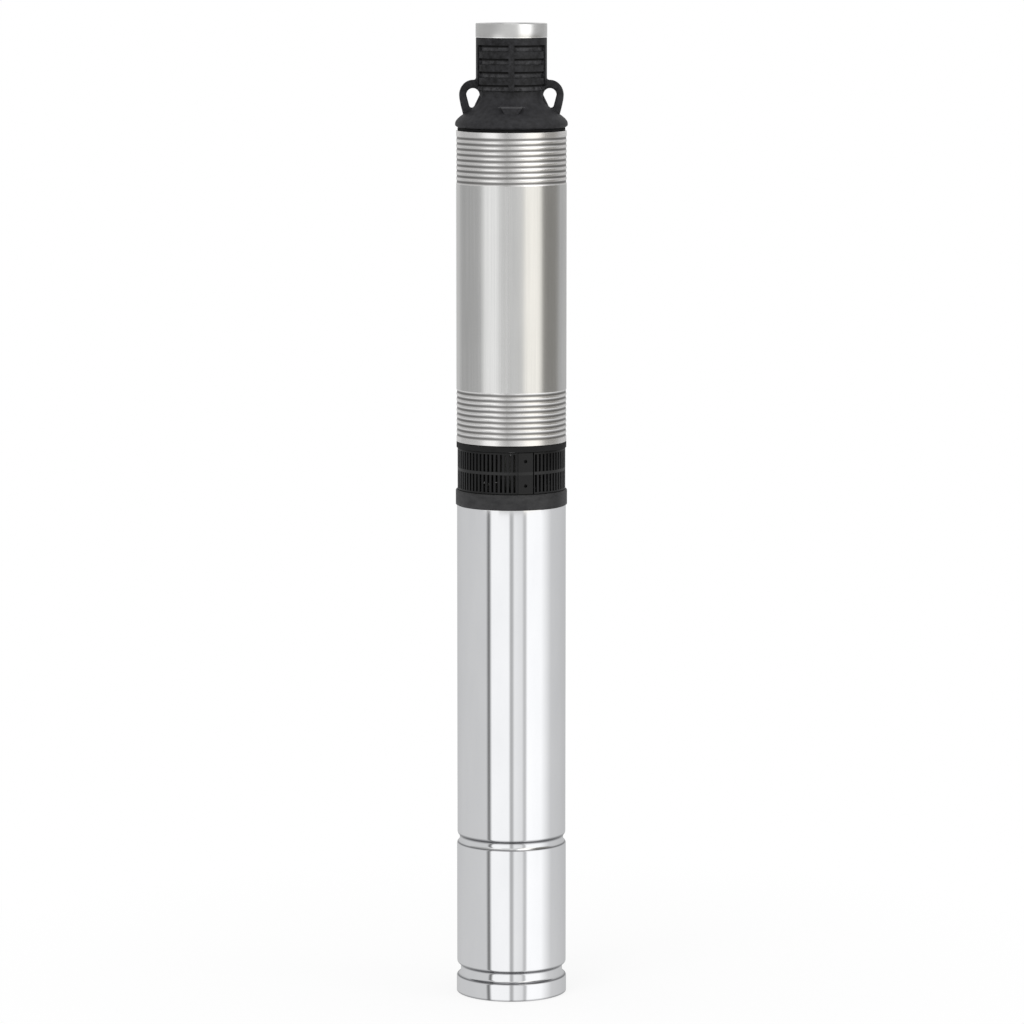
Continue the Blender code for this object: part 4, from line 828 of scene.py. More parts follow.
right_eye = plate(rope_eye(), EYE_THICKNESS, EYE_EDGE)
left_eye = right_eye.copy()
left_eye.transform(Matrix.Rotation(math.pi, 4, "Z"))
BOSS_WIDTH = 0.0200
BOSS_EDGE = 0.0011
BOSS_HEIGHT = 0.0120
BOSS_FOOT = 0.0072
BOSS_FRONT = 0.0401
BOSS_ROOT = 0.0020
boss_low = SKIRT_FOOT + BOSS_FOOT
boss_top = boss_low + BOSS_HEIGHT
boss_loop = [
    (-BOSS_WIDTH / 2, boss_top), (BOSS_WIDTH / 2, boss_top),
    (FRONT_WEB / 2, boss_low), (-FRONT_WEB / 2, boss_low),
]
boss_depth = BOSS_FRONT - RECESS_RADIUS + BOSS_ROOT
boss = plate([boss_loop], boss_depth, BOSS_EDGE)
boss.transform(Matrix.Translation((0.0, boss_depth / 2 - BOSS_FRONT, 0.0)))

MOULD_GRAIN = (2600.0, 3.0, 0.6)
MOULD_DEPTH = 0.00004
HEAD_CLOUD = (60.0, 5.0, 0.7)
HEAD_SCUFFS = (240.0, 4.0, 0.7)
HEAD_TONES = ((0.0006, 0.0006, 0.0008), (0.0230, 0.0232, 0.0258))
FLARE_LIGHT_TONE = (0.052, 0.051, 0.057)
FLARE_FADE = 0.006
BOSS_HIGHLIGHT_TONE = (0.085, 0.085, 0.088)
HIGHLIGHT_DROP = 0.0006
HIGHLIGHT_HALF = 0.0007
HIGHLIGHT_REACH = 0.0175
HIGHLIGHT_OUT = 0.0045
RECESS_HIGHLIGHT_TONE = (0.075, 0.075, 0.080)
RECESS_OUT = 0.0015
RECESS_IN = 0.0010
SHADE_TONE = (0.0003, 0.0003, 0.0003)
SHADE_DEPTH = 0.0026
SHADE_REACH = 2.0
LOW_SHADE = 0.0008


def from_axis(tree, spot):
    """A point's distance from the pump's axis."""
    inputs = {0: spot, 1: (1.0, 1.0, 0.0)}
    flat_spot = tree.node("ShaderNodeVectorMath", {"operation": "MULTIPLY"}, inputs)
    return tree.node("ShaderNodeVectorMath", {"operation": "LENGTH"}, {0: flat_spot}, out="Value")


black_plastic, tree, spot, arc, z = surface("black_plastic")
radius = from_axis(tree, spot)
grain = noise(tree, spot, *MOULD_GRAIN)
cloud = noise(tree, spot, *HEAD_CLOUD)
scuffs = (noise(tree, spot, *HEAD_SCUFFS) - 0.5) * 2.4 + 0.5
mottle = ((cloud * 0.5 + scuffs * 0.5) * 1.9 - 0.5).clamped()
below = ((first_top - z) / RECESS_PITCH).math("FRACT") * RECESS_PITCH
recess = (radius < NECK_RADIUS - RECESS_OUT) * (radius > RECESS_RADIUS - RECESS_IN)
recess = recess * (z > NECK_FOOT) * (z < first_top)
# Painted shade: a dark line under the top of each recess, and a weaker one along its bottom.
shade = ((1.0 - below / SHADE_DEPTH) * SHADE_REACH).clamped() * recess
low_edge_shade = (below > RECESS_HEIGHT - LOW_SHADE) * (below < RECESS_HEIGHT) * recess
# Painted light: the flare below the neck, which faces up, is lighter.
flare_light = ((NECK_FOOT - z) / FLARE_FADE).clamped()
# Painted highlight along the boss's upper edge, streaked by the scuffs.
boss_highlight = (z - boss_top + HIGHLIGHT_DROP).math("ABSOLUTE") < HIGHLIGHT_HALF
boss_highlight = boss_highlight * (radius > RECESS_RADIUS + HIGHLIGHT_OUT) * (arc.math("ABSOLUTE") < HIGHLIGHT_REACH)
plain = blended(tree, mottle, *HEAD_TONES)
raised = blended(tree, flare_light * 0.22, plain, FLARE_LIGHT_TONE)
wear_and_highlight = blended(tree, boss_highlight * (0.35 + scuffs * 0.4), raised, BOSS_HIGHLIGHT_TONE)
# Painted highlight on the recess floors, streaked by the scuffs.
with_recess_highlight = blended(tree, recess * scuffs.math("MAXIMUM", 0.0) * 0.95, wear_and_highlight, RECESS_HIGHLIGHT_TONE)
tone = blended(tree, shade.math("MAXIMUM", low_edge_shade * 0.6), with_recess_highlight, SHADE_TONE)
dull = 0.46 + cloud * 0.16 - recess * 0.08 + shade * 0.3
finished(tree, tone, dull, PLASTIC, grain, MOULD_DEPTH, Specular_IOR_Level=0.28)
band_values = {"Count": RECESS_COUNT - 1, "Step": (0.0, 0.0, -RECESS_PITCH)}
bands = grown(band, repeat_tree("neck_recesses"), band_values, black_plastic)
head = turned("head_body", softened(head_line), HEAD_STEPS)
cuts = [("DIFFERENCE", other) for other in (bands, lowest_band, channels)]
head = shaped(head, *cuts, ("UNION", right_eye), ("UNION", left_eye), ("UNION", boss))
tidied(head)
placed(
    "discharge_head_moulding", head, black_plastic, "pump_body", "black_plastic", "discharge_head"
)

# The gasket between the shell and the head's skirt is a flat ring of black rubber. It is
# squeezed in the dark gap under the skirt.
GASKET_LOW, GASKET_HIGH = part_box("head_gasket")
GASKET_WIDTH = 0.0019
GASKET_ROUND = 0.0006
RUBBER_TONES = ((0.002, 0.002, 0.002), (0.008, 0.008, 0.008))
RUBBER_DEPTH = 0.00003


def grained(name, tones, dull, metallic, depth, pattern, stretched=False, **fixed):
    """A finish in two tones of one pattern, with its least roughness and its spread."""
    finish, tree, spot, arc, z = surface(name)
    grain = streaks(tree, arc, z, *pattern) if stretched else noise(tree, spot, *pattern)
    tone = blended(tree, grain, *tones)
    finished(tree, tone, dull[0] + grain * dull[1], metallic, grain, depth, **fixed)
    return finish


rubber = grained(
    "black_rubber", RUBBER_TONES, (0.80, 0.1), PLASTIC, RUBBER_DEPTH, (1500.0,),
    Specular_IOR_Level=0.2,
)
gasket_line = [
    (GASKET_HIGH.x, GASKET_HIGH.z, GASKET_ROUND), (GASKET_HIGH.x, GASKET_LOW.z, GASKET_ROUND),
    (GASKET_HIGH.x - GASKET_WIDTH, GASKET_LOW.z, 0.0),
    (GASKET_HIGH.x - GASKET_WIDTH, GASKET_HIGH.z, 0.0),
]
gasket = turned("gasket", softened(gasket_line), HEAD_STEPS)
placed("head_gasket_ring", gasket, rubber, "pump_body", "black_rubber", "head_gasket")

# The outlet sleeve is turned from stainless bar and moulded into the head. It has a parallel
# pipe thread inside, which the riser screws into, and a fine lathe finish outside.
SLEEVE_LOW, SLEEVE_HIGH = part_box("outlet_sleeve")
SLEEVE_STEPS = 144
SLEEVE_SPIGOT = 0.0253
SLEEVE_CHAMFER = 0.0015
SLEEVE_EDGE = 0.0002
SLEEVE_ROUND = 0.0006
SLEEVE_WALL = 0.0005
THREAD_PITCH = 0.00231
THREAD_DEPTH = 0.0010
THREAD_ROWS = 8
THREAD_START = 0.0010
THREAD_END = 0.0018
NECK_STEP = NECK_TOP + 0.0003
RIM_HIGHLIGHT_HEIGHT = 0.0007
RIM_HIGHLIGHT_TONE = (0.98, 0.98, 0.98)
MACHINED_TONES = ((0.62, 0.62, 0.615), (0.72, 0.72, 0.71))
LATHE_LINES = (12.0, 6500.0, 2.0)
LATHE_DEPTH = 0.000006
SMEARS = (90.0, 3.0)
sleeve_top = [
    (SLEEVE_HIGH.x, SLEEVE_HIGH.z, SLEEVE_ROUND), (SLEEVE_HIGH.x, NECK_STEP, SLEEVE_EDGE),
    (SLEEVE_SPIGOT, NECK_STEP, 0.0), (SLEEVE_SPIGOT, SLEEVE_LOW.z, 0.0),
    (BORE_RADIUS, SLEEVE_LOW.z, 0.0), (BORE_RADIUS, SLEEVE_HIGH.z - SLEEVE_CHAMFER, 0.0),
    (BORE_RADIUS + SLEEVE_CHAMFER, SLEEVE_HIGH.z, SLEEVE_EDGE),
]
sleeve_line = softened(sleeve_top, 4)
bore_foot = sleeve_line.index((BORE_RADIUS, SLEEVE_LOW.z)) + 1
thread_length = SLEEVE_HIGH.z - SLEEVE_CHAMFER - SLEEVE_LOW.z
thread_rows = int(thread_length / THREAD_PITCH * THREAD_ROWS)
sleeve_line[bore_foot:bore_foot] = [
    (BORE_RADIUS, SLEEVE_LOW.z + thread_length * row / thread_rows) for row in range(1, thread_rows)
]
machined_steel, tree, spot, arc, z = surface("machined_steel")
lathe_lines = streaks(tree, arc, z, *LATHE_LINES)
smears = noise(tree, spot, *SMEARS)
# Painted highlight: a bright line round the sleeve's foot, just above the neck.
rim_highlight = (z > NECK_STEP) * (z < NECK_STEP + RIM_HIGHLIGHT_HEIGHT)
satin = blended(tree, smears, *MACHINED_TONES)
tone = blended(tree, rim_highlight, satin, RIM_HIGHLIGHT_TONE)
dull = 0.20 + lathe_lines * 0.06 + smears * 0.05
finished(tree, tone, dull, METAL, lathe_lines, LATHE_DEPTH, Anisotropic=0.5)
thread_values = {
    "Pitch": THREAD_PITCH, "Depth": THREAD_DEPTH, "Lead": 1.0,
    "Start": SLEEVE_LOW.z + THREAD_START, "End": SLEEVE_HIGH.z - THREAD_END,
    "Wall middle": BORE_RADIUS + SLEEVE_WALL, "Side": -1.0,
}
sleeve = turned("sleeve", sleeve_line, SLEEVE_STEPS)
sleeve = tidied(grown(sleeve, ripples, thread_values, machined_steel), FOLD_ANGLE)
placed(
    "outlet_sleeve_threaded", sleeve, machined_steel, "pump_body", "machined_steel", "outlet_sleeve"
)

# The intake bracket is one black moulding: a collar bolted on the motor, three pillars, the
# lip that the shell stops on, and the threaded spigot inside the shell. Spokes carry its hub.
BRACKET_STEPS = 144
BRACKET_EDGE = 0.0005
PANEL_TURN = math.radians(15.0) - math.pi / 2
GLAND_TURN = math.pi / 2
COLLAR_RADIUS = 0.0487
COLLAR_ROUND = 0.0012
COLLAR_FOOT = 0.4345
COLLAR_TOP = 0.4477
COLLAR_SEAT = 0.0439
COLLAR_STEP = 0.0018
COLLAR_BORE = 0.0210
LIP_FOOT = 0.4846
LIP_TOP = 0.4896
LIP_BORE = 0.0389
SCREWED_TOP = 0.5275
SCREWED_BORE = 0.0397
INLET_RADIUS = 0.0190
INLET_FOOT = 0.006
INLET_LIP = 0.003
PILLAR_WIDTH = 0.0120
PILLAR_OUT = 0.0451
PILLAR_DEPTH = 0.0084
PILLAR_SINK = 0.002
PILLAR_GAP = 0.0008
HUB_STEPS = 48
HUB_RADIUS = 0.0136
HUB_BORE = 0.0109
HUB_LOW = 0.4976
HUB_HIGH = 0.5116
# Where a box starts and ends from the axis, its width, and its heights.
SPOKE = (0.0128, 0.0413, 0.0050, 0.4984, 0.5108)
NOTCH = (0.0275, 0.0495, 0.0148, COLLAR_FOOT - 0.001, COLLAR_TOP + 0.001)
COLLAR_TONES = ((0.010, 0.010, 0.011), (0.044, 0.044, 0.045))
COLLAR_FACE = 0.0015
COLLAR_RIM = 0.0005
INSIDE_SHADE_TONE = (0.0015, 0.0015, 0.0016)
BRACKET_CLOUD = (55.0, 4.0)
RUBBED = (55.0, 130.0, 5.0, 0.7)
collar_line = [
    (COLLAR_RADIUS, COLLAR_TOP, COLLAR_ROUND), (COLLAR_RADIUS, COLLAR_FOOT, BRACKET_EDGE),
    (COLLAR_SEAT, COLLAR_FOOT, 0.0), (COLLAR_SEAT, COLLAR_FOOT + COLLAR_STEP, 0.0),
    (COLLAR_BORE, COLLAR_FOOT + COLLAR_STEP, 0.0), (COLLAR_BORE, COLLAR_TOP, BRACKET_EDGE),
]
upper_line = [
    (SPIGOT_RADIUS, SCREWED_TOP, BRACKET_EDGE), (SPIGOT_RADIUS, LIP_TOP, 0.0),
    (PUMP_RADIUS, LIP_TOP, BRACKET_EDGE), (PUMP_RADIUS, LIP_FOOT, BRACKET_EDGE),
    (LIP_BORE, LIP_FOOT, 0.0), (SCREWED_BORE, LIP_TOP, 0.0),
    (SCREWED_BORE, SCREWED_TOP - INLET_FOOT, 0.0), (INLET_RADIUS, SCREWED_TOP - INLET_LIP, 0.0),
    (INLET_RADIUS, SCREWED_TOP, 0.0),
]
hub_line = [
    (HUB_RADIUS, HUB_HIGH), (HUB_RADIUS, HUB_LOW), (HUB_BORE, HUB_LOW), (HUB_BORE, HUB_HIGH),
]
pillar_turns = [PANEL_TURN + math.pi * quarter / 2 for quarter in (0, 1, 3)]
pillars = box_round(
    pillar_turns, PILLAR_OUT - PILLAR_DEPTH, PILLAR_OUT, PILLAR_WIDTH,
    COLLAR_TOP - PILLAR_SINK, LIP_TOP - PILLAR_GAP,
)
spokes = box_round([PANEL_TURN + 2 * math.pi * third / 3 for third in range(3)], *SPOKE)
charcoal_plastic, tree, spot, arc, z = surface("charcoal_plastic")
grain = noise(tree, spot, *MOULD_GRAIN)
cloud = noise(tree, spot, *BRACKET_CLOUD)
# Painted shade: inside the collar's face and above its top the plastic is darker, for the shade
# within the strainer; the lip above it is darkened by the same mask.
within = from_axis(tree, spot) < COLLAR_RADIUS - COLLAR_FACE
inside_shade = within.math("MAXIMUM", z > COLLAR_TOP + COLLAR_RIM)
rubbed = ((streaks(tree, arc, z, *RUBBED) - 0.5) * 2.2 + 0.5).clamped()
collar = blended(tree, rubbed, *COLLAR_TONES)
tone = blended(tree, inside_shade * 0.85, collar, INSIDE_SHADE_TONE)
dull = 0.42 + cloud * 0.14 + inside_shade * 0.2
finished(tree, tone, dull, PLASTIC, grain, MOULD_DEPTH, Specular_IOR_Level=0.30)
bracket = shaped(
    turned("bracket", softened(collar_line), BRACKET_STEPS),
    ("UNION", turned("upper", softened(upper_line), BRACKET_STEPS)),
    ("UNION", pillars),
    ("UNION", turned("hub", hub_line, HUB_STEPS)),
    ("UNION", spokes),
    ("DIFFERENCE", box_round([GLAND_TURN], *NOTCH)),
)
tidied(bracket)
placed(
    "intake_bracket_moulding", bracket, charcoal_plastic,
    "pump_body", "black_plastic", "intake_bracket",
)

# The strainer is a sprung black sleeve with two rows of slots, closed at the back but for the
# lead's window. A raised panel right of the front has two screw holes and the seam beside it.
STRAINER_LOW, STRAINER_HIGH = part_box("strainer")
STRAINER_RADIUS = 0.0471
STRAINER_WALL = 0.0012
STRAINER_EDGE = 0.0003
STRAINER_HEIGHT = STRAINER_HIGH.z - STRAINER_LOW.z
SLOT_POSITIONS = 76
PLAIN_POSITIONS = 4
SLOT_WIDTH = 0.0019
SLOT_RAIL = 0.0016
SLOT_RIB = 0.0026
CLOSED_TURN = math.radians(62.0)
HOLE_EDGE = 0.0075
HOLE_RADIUS = 0.0015
HOLE_STEPS = 32
HOLE_LENGTH = 0.008
SEAM_TURN = PANEL_TURN + math.radians(9.0)
WINDOW = (0.0435, 0.0483, 0.0150, STRAINER_LOW.z + 0.0030, STRAINER_HIGH.z - 0.0030)
SEAM = (0.0445, 0.0485, 0.0010, STRAINER_LOW.z - 0.001, STRAINER_HIGH.z + 0.001)
PANEL_RISE = 0.0004
PANEL = (
    SPIGOT_RADIUS, STRAINER_RADIUS + PANEL_RISE, 0.0130,
    STRAINER_LOW.z + STRAINER_EDGE, STRAINER_HIGH.z - STRAINER_EDGE,
)
STRAINER_TONES = ((0.0008, 0.0008, 0.0009), (0.0085, 0.0085, 0.0090))
RIB_TONE = (0.028, 0.028, 0.028)
STRAINER_CLOUD = (70.0, 5.0, 0.7)
STRAINER_DEPTH = 0.00003


def round_axis(maker, shape, count, radius, turn, level=0.0, wanted=True):
    """Copies of a shape on a circle about the axis, each turned with its place."""
    circle = maker.node(
        "GeometryNodeMeshCircle", {"fill_type": "NONE"}, {"Vertices": count, "Radius": radius}
    )
    outwards = maker.node(
        "FunctionNodeAlignRotationToVector",
        {"axis": "X", "pivot_axis": "Z"},
        {"Vector": maker.node("GeometryNodeInputPosition")},
    )
    copies = maker.node(
        "GeometryNodeInstanceOnPoints",
        inputs={"Points": circle, "Selection": wanted, "Instance": shape, "Rotation": outwards},
    )
    return maker.node(
        "GeometryNodeTransform",
        inputs={
            "Geometry": copies,
            "Translation": joined(maker, 0.0, 0.0, level),
            "Rotation": joined(maker, 0.0, 0.0, turn),
        },
    )


def slot_tree(name):
    """Cuts a shape with boxes that stand round the axis, at the places from First to Last."""
    numbers = ("First", "Last", "Skip from", "Skip to", "Radius", "Level", "Turn")
    kinds = {"Places": "Int", **dict.fromkeys(numbers, "Float"), "Size": "Vector"}
    maker, given = shape_tree(name, kinds)
    shape, places, first, last, skip_from, skip_to, radius, level, turn, size, finish = given
    index = maker.node("GeometryNodeInputIndex")
    wanted = (index > first - 0.5) * (index < last + 0.5)
    wanted = wanted * (1.0 - (index > skip_from - 0.5) * (index < skip_to + 0.5))
    box = maker.node("GeometryNodeMeshCube", inputs={"Size": size})
    boxes = round_axis(maker, box, places, radius, turn, level, wanted)
    cutters = maker.node("GeometryNodeRealizeInstances", inputs={0: boxes})
    holed = maker.node(
        "GeometryNodeMeshBoolean",
        {"operation": "DIFFERENCE", "solver": "EXACT"},
        {"Mesh 1": shape, "Mesh 2": cutters},
    )
    return ended(maker, holed, finish)


def rod(segments, radius, length, place):
    """A straight rod, for cutting."""
    shape = bmesh.new()
    bmesh.ops.create_cone(
        shape, cap_ends=True, segments=segments, radius1=radius, radius2=radius, depth=length,
        matrix=place,
    )
    return mesh_from("rod", shape)


def panel_hole(height):
    """The rod that drills one of the panel's holes."""
    place = Matrix.Rotation(PANEL_TURN, 4, "Z") @ Matrix.Translation((STRAINER_RADIUS, 0.0, height))
    return rod(HOLE_STEPS, HOLE_RADIUS, HOLE_LENGTH, place @ Matrix.Rotation(math.pi / 2, 4, "Y"))


slots = slot_tree("strainer_slots")
slot_height = (STRAINER_HEIGHT - 2 * SLOT_RAIL - SLOT_RIB) / 2
pitch_turn = 2 * math.pi / SLOT_POSITIONS
first_slot = PLAIN_POSITIONS / 2 + 0.5
window_place = (GLAND_TURN - PANEL_TURN) / pitch_turn - first_slot
window_margin = CLOSED_TURN / pitch_turn
strainer_line = [
    (STRAINER_RADIUS, STRAINER_HIGH.z, STRAINER_EDGE),
    (STRAINER_RADIUS, STRAINER_LOW.z, STRAINER_EDGE),
    (STRAINER_RADIUS - STRAINER_WALL, STRAINER_LOW.z, 0.0),
    (STRAINER_RADIUS - STRAINER_WALL, STRAINER_HIGH.z, 0.0),
]
slot_values = {
    "Places": SLOT_POSITIONS, "First": 0.0, "Last": SLOT_POSITIONS - PLAIN_POSITIONS - 1.0,
    "Skip from": math.ceil(window_place - window_margin),
    "Skip to": math.floor(window_place + window_margin),
    "Radius": STRAINER_RADIUS, "Turn": PANEL_TURN + first_slot * pitch_turn,
    "Size": (STRAINER_WALL * 6, SLOT_WIDTH, slot_height),
}
strainer = turned("strainer_sleeve", softened(strainer_line, 3), SLOT_POSITIONS * 3)
for row in range(2):
    level = STRAINER_LOW.z + SLOT_RAIL + row * (slot_height + SLOT_RIB) + slot_height / 2
    strainer = grown(strainer, slots, {**slot_values, "Level": level}, black_plastic)
strainer_plastic, tree, spot, arc, z = surface("strainer_plastic")
grain = noise(tree, spot, *MOULD_GRAIN)
cloud = noise(tree, spot, *STRAINER_CLOUD)
middle_rib = (z - (STRAINER_LOW.z + STRAINER_HIGH.z) / 2).math("ABSOLUTE") < SLOT_RIB / 2
black = blended(tree, cloud, *STRAINER_TONES)
tone = blended(tree, middle_rib * cloud, black, RIB_TONE)
dull = 0.34 + cloud * 0.20
finished(tree, tone, dull, PLASTIC, grain, STRAINER_DEPTH, Specular_IOR_Level=0.30)
strainer = shaped(
    strainer,
    ("UNION", box_round([PANEL_TURN], *PANEL)),
    ("DIFFERENCE", box_round([GLAND_TURN], *WINDOW)),
    ("DIFFERENCE", box_round([SEAM_TURN], *SEAM)),
    ("DIFFERENCE", panel_hole(STRAINER_LOW.z + HOLE_EDGE)),
    ("DIFFERENCE", panel_hole(STRAINER_HIGH.z - HOLE_EDGE)),
)
tidied(strainer)
placed("strainer_sleeve", strainer, strainer_plastic, "pump_body", "black_plastic", "strainer")

# Four studs and nuts hold the bracket's collar on the motor's flange. They are plain
# stainless fasteners, and they show through the slots.
NUT_LOW, NUT_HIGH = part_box("flange_nut_1")
STUD_LOW, STUD_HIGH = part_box("flange_stud_1")
STUD_COUNT = 4
STUD_STEPS = 28
STUD_RADIUS = 0.0040
STUD_CHAMFER = 0.0006
NUT_STEPS = 48
NUT_CORNER = 0.00751
NUT_CHAMFER = 0.0009
NUT_BORE = STUD_RADIUS + 0.0002
HEXAGON_LENGTH = 0.02
SHADED_STEEL_TONES = ((0.030, 0.030, 0.030), (0.11, 0.11, 0.105))
DULL_DEPTH = 0.00002


def circle_tree(name):
    """Stands copies of a shape on a circle, each turned with its place."""
    kinds = {"Count": "Int", "Radius": "Float", "Turn": "Float"}
    maker, (shape, count, radius, turn, finish) = shape_tree(name, kinds)
    return ended(maker, round_axis(maker, shape, count, radius, turn), finish)


# Painted shade: the steel inside the strainer is toned dark, so it shows only in glints.
dull_steel = grained("dull_steel", SHADED_STEEL_TONES, (0.34, 0.12), METAL, DULL_DEPTH, (160.0, 4.0))
stud_line = [
    (0.0, STUD_HIGH.z), (STUD_RADIUS - STUD_CHAMFER, STUD_HIGH.z),
    (STUD_RADIUS, STUD_HIGH.z - STUD_CHAMFER), (STUD_RADIUS, STUD_LOW.z), (0.0, STUD_LOW.z),
]
nut_line = [
    (NUT_CORNER - NUT_CHAMFER, NUT_HIGH.z), (NUT_CORNER, NUT_HIGH.z - NUT_CHAMFER / 2),
    (NUT_CORNER, NUT_LOW.z), (NUT_BORE, NUT_LOW.z), (NUT_BORE, NUT_HIGH.z),
]
hexagon = rod(6, NUT_CORNER, HEXAGON_LENGTH, Matrix.Translation((0.0, 0.0, NUT_HIGH.z)))
stud = turned("stud", stud_line, STUD_STEPS, on_axis=True)
nut = tidied(shaped(turned("nut", nut_line, NUT_STEPS), ("INTERSECT", hexagon)))
nut_middle = (NUT_LOW + NUT_HIGH) / 2
circles = circle_tree("round_the_axis")
round_values = {
    "Count": STUD_COUNT,
    "Radius": math.hypot(nut_middle.x, nut_middle.y),
    "Turn": math.atan2(nut_middle.y, nut_middle.x),
}
for kind, shape in (("stud", stud), ("nut", nut)):
    ring = tidied(grown(shape, circles, round_values, dull_steel))
    nodes = [f"flange_{kind}_{number}" for number in range(1, STUD_COUNT + 1)]
    placed(f"flange_{kind}s", ring, dull_steel, "pump_body", "machined_steel", *nodes)

# The coupling is a turned steel sleeve on the motor's splines, with a set screw. It glints
# behind the slots as it turns with the motor.
COUPLING_LOW, COUPLING_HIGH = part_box("shaft_coupling")
COUPLING_STEPS = 96
COUPLING_RADIUS = 0.0130
COUPLING_ROUND = 0.001
MOTOR_BORE = 0.0083
PUMP_BORE = 0.0073
BORE_STEP = 0.4727
coupling_line = [
    (COUPLING_RADIUS, COUPLING_HIGH.z, COUPLING_ROUND),
    (COUPLING_RADIUS, COUPLING_LOW.z, COUPLING_ROUND),
    (MOTOR_BORE, COUPLING_LOW.z, 0.0), (MOTOR_BORE, BORE_STEP, 0.0),
    (PUMP_BORE, BORE_STEP, 0.0), (PUMP_BORE, COUPLING_HIGH.z, 0.0),
]
coupling = tidied(turned("coupling", softened(coupling_line), COUPLING_STEPS))
# Painted shade: the coupling takes the same darkened steel as the studs.
placed(
    "shaft_coupling_sleeve", coupling, dull_steel, "motor_rotor", "polished_steel", "shaft_coupling"
)

# The gland is the rubber boot of the motor lead, pressed into the flange at the back. The
# lead itself is not shown, so the boot's round inlet is open.
GLAND_LOW, GLAND_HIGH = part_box("cable_gland")
GLAND_STEPS = 64
GLAND_RADIUS = 0.0068
GLAND_BORE = 0.0036
GLAND_DEPTH = 0.0100
GLAND_ROUND = 0.0008
GLAND_TOP = 0.0012
RIB_COUNT = 4
RIB_PITCH = 0.0034
RIB_ROUND = 0.0004
# How far in from the boot's side and how far down from the rib's top each corner lies.
RIB_LINE = ((0.0, 0.0004), (0.0, 0.0018), (0.0007, 0.0022), (0.0007, 0.0032))
gland_middle = (GLAND_LOW + GLAND_HIGH) / 2
gland_line = [
    (0.0, GLAND_LOW.z + GLAND_DEPTH, 0.0), (GLAND_BORE, GLAND_LOW.z + GLAND_DEPTH, 0.0),
    (GLAND_BORE, GLAND_HIGH.z, GLAND_ROUND),
    (GLAND_RADIUS - GLAND_ROUND, GLAND_HIGH.z, GLAND_ROUND),
]
for rib in range(RIB_COUNT):
    high = GLAND_HIGH.z - GLAND_TOP - rib * RIB_PITCH
    gland_line += [(GLAND_RADIUS - inwards, high - down, RIB_ROUND) for inwards, down in RIB_LINE]
gland_line += [(GLAND_RADIUS, GLAND_LOW.z, 0.0), (0.0, GLAND_LOW.z, 0.0)]
gland = turned("gland", softened(gland_line, 4), GLAND_STEPS, on_axis=True)
gland.transform(Matrix.Translation((gland_middle.x, gland_middle.y, 0.0)))
tidied(gland)
placed("cable_gland_boot", gland, rubber, "pump_body", "black_rubber", "cable_gland")

# The non-return valve's poppet shows down the outlet: a grey moulded disc with a low crown,
# guided by its stem, over a rubber seal ring.
POPPET_LOW, POPPET_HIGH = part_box("valve_poppet")
SEAL_LOW, SEAL_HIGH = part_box("valve_seal_ring")
POPPET_STEPS = 96
DISC_RADIUS = 0.0250
DISC_GAP = 0.0003
DISC_EDGE = 0.0015
CROWN_RADIUS = 0.0080
CROWN_DROP = 0.0030
SEAL_SEAT = (0.0197, 0.0188)
STEM_RADIUS = 0.0040
STEM_COLLAR = 0.0080
STEM_FOOT = 0.0020
GREY_TONES = ((0.13, 0.13, 0.14), (0.19, 0.19, 0.20))
GREY_GRAIN = (2200.0,)
GREY_DEPTH = 0.00003
GREY_CLOUD = (60.0, 4.0)
grey_plastic, tree, spot, arc, z = surface("grey_plastic")
grain = noise(tree, spot, *GREY_GRAIN)
cloud = noise(tree, spot, *GREY_CLOUD)
finished(tree, blended(tree, cloud, *GREY_TONES), 0.42 + cloud * 0.12, PLASTIC, grain, GREY_DEPTH)
disc_foot = SEAL_HIGH.z + DISC_GAP
poppet_line = [
    (0.0, POPPET_HIGH.z, 0.0), (CROWN_RADIUS, POPPET_HIGH.z - CROWN_DROP, 0.0050),
    (DISC_RADIUS, disc_foot + DISC_EDGE, 0.0010), (DISC_RADIUS, disc_foot, 0.0003),
    (SEAL_SEAT[0], disc_foot, 0.0), (SEAL_SEAT[1], SEAL_LOW.z, 0.0),
    (STEM_RADIUS, SEAL_LOW.z, 0.0), (STEM_RADIUS, POPPET_LOW.z + STEM_FOOT, 0.0),
    (STEM_COLLAR, POPPET_LOW.z + STEM_FOOT, 0.0), (STEM_COLLAR, POPPET_LOW.z, 0.0),
    (0.0, POPPET_LOW.z, 0.0),
]
poppet = turned("poppet", softened(poppet_line), POPPET_STEPS, on_axis=True)
placed(
    "valve_poppet_disc", poppet, grey_plastic, "valve_poppet_set", "grey_plastic", "valve_poppet"
)

# The valve's spring is wound from round stainless wire and sits on the poppet's stem, between
# the seat's guide above and the collar at the stem's foot. In the valve it shortens as the poppet
# lifts; here its mesh is fixed and rides on the pump's body.
SPRING_LOW, SPRING_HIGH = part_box("valve_spring")
SPRING_TURNS = 4
SPRING_RADIUS = 0.0066
WIRE_RADIUS = 0.0006
WIRE_STATIONS = 48
WIRE_SIDES = 10
WIRE_ANGLE = 60.0


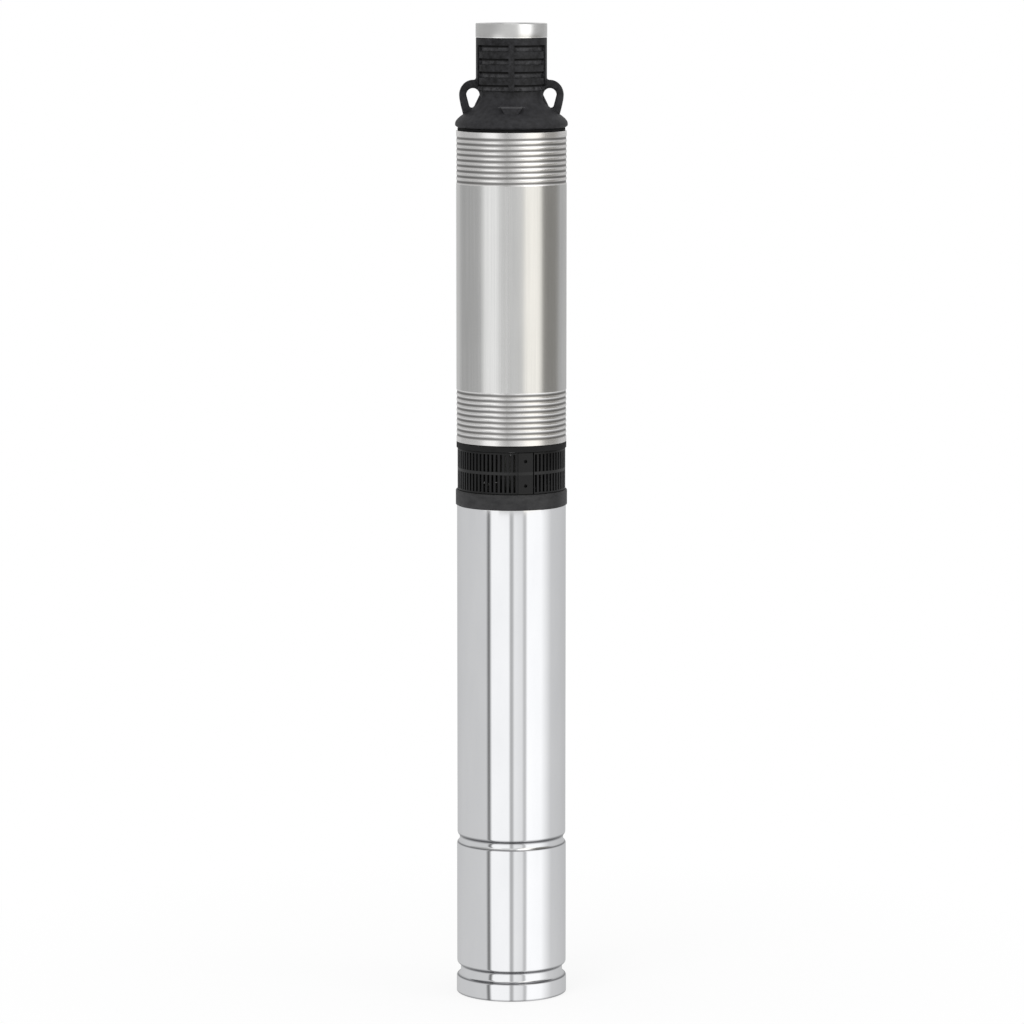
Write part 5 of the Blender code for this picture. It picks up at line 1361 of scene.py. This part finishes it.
def coiled(name):
    """A round wire wound up the axis, closed at both its ends."""
    verts, faces = [], []
    stations = SPRING_TURNS * WIRE_STATIONS + 1
    rise = SPRING_HIGH.z - SPRING_LOW.z - 2 * WIRE_RADIUS
    for station in range(stations):
        along = station / (stations - 1)
        turn = 2 * math.pi * SPRING_TURNS * along
        out = Vector((math.cos(turn), math.sin(turn), 0.0))
        middle = out * SPRING_RADIUS
        middle.z = SPRING_LOW.z + WIRE_RADIUS + rise * along
        for side in range(WIRE_SIDES):
            round_wire = 2 * math.pi * side / WIRE_SIDES
            offset = out * math.cos(round_wire) + Vector((0.0, 0.0, math.sin(round_wire)))
            verts.append(tuple(middle + offset * WIRE_RADIUS))
    for station in range(stations - 1):
        here, there = station * WIRE_SIDES, (station + 1) * WIRE_SIDES
        for side in range(WIRE_SIDES):
            after = (side + 1) % WIRE_SIDES
            faces.append((here + side, here + after, there + after, there + side))
    last = (stations - 1) * WIRE_SIDES
    faces.append(tuple(range(WIRE_SIDES))[::-1])
    faces.append(tuple(last + side for side in range(WIRE_SIDES)))
    return tidied(mesh_of(name, verts, faces), WIRE_ANGLE)


wire = coiled("valve_spring_wire")
spring_wire = placed(
    "valve_spring_wire", wire, machined_steel, "pump_body", "machined_steel", "valve_spring"
)
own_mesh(spring_wire)

# Castings, bearings, windings and stages are closed in by the shells. They keep their solids
# and take the finish of what each is made of.
# Two tones, the roughness and its spread, how metallic, the relief's depth, the pattern, and
# whether it is stretched round and along the pump.
closed_in = {
    "pale_plastic": (
        ((0.50, 0.48, 0.42), (0.60, 0.58, 0.52)), (0.38, 0.1), PLASTIC, 0.00003, (70.0,),
    ),
    "cast_iron": (
        ((0.050, 0.050, 0.053), (0.095, 0.095, 0.100)), (0.50, 0.2), 0.3, 0.0002,
        (700.0, 5.0, 0.65),
    ),
    "bronze": (
        ((0.36, 0.21, 0.08), (0.50, 0.31, 0.14)), (0.28, 0.2), METAL, 0.00002, (1800.0,),
    ),
    "copper": (
        ((0.38, 0.13, 0.05), (0.62, 0.26, 0.12)), (0.25, 0.2), METAL, 0.0001,
        (90.0, 1500.0), True,
    ),
    "lamination": (
        ((0.15, 0.15, 0.17), (0.28, 0.28, 0.30)), (0.40, 0.15), 0.9, 0.00005,
        (0.0, 2000.0, 1.0), True,
    ),
}
finishes = {name: grained(name, *looks) for name, looks in closed_in.items()}
finishes.update({
    "brushed_steel": brushed_steel,
    "polished_steel": polished_steel,
    "machined_steel": machined_steel,
    "black_plastic": black_plastic,
    "grey_plastic": grey_plastic,
    "black_rubber": rubber,
})
for row in frame["record"]["subparts"]:
    node = frame["nodes"][row["node"]]
    node.data.materials.clear()
    node.data.materials.append(finishes[row["material_slot"]])

view = bpy.context.scene.view_settings
view.view_transform = "Standard"
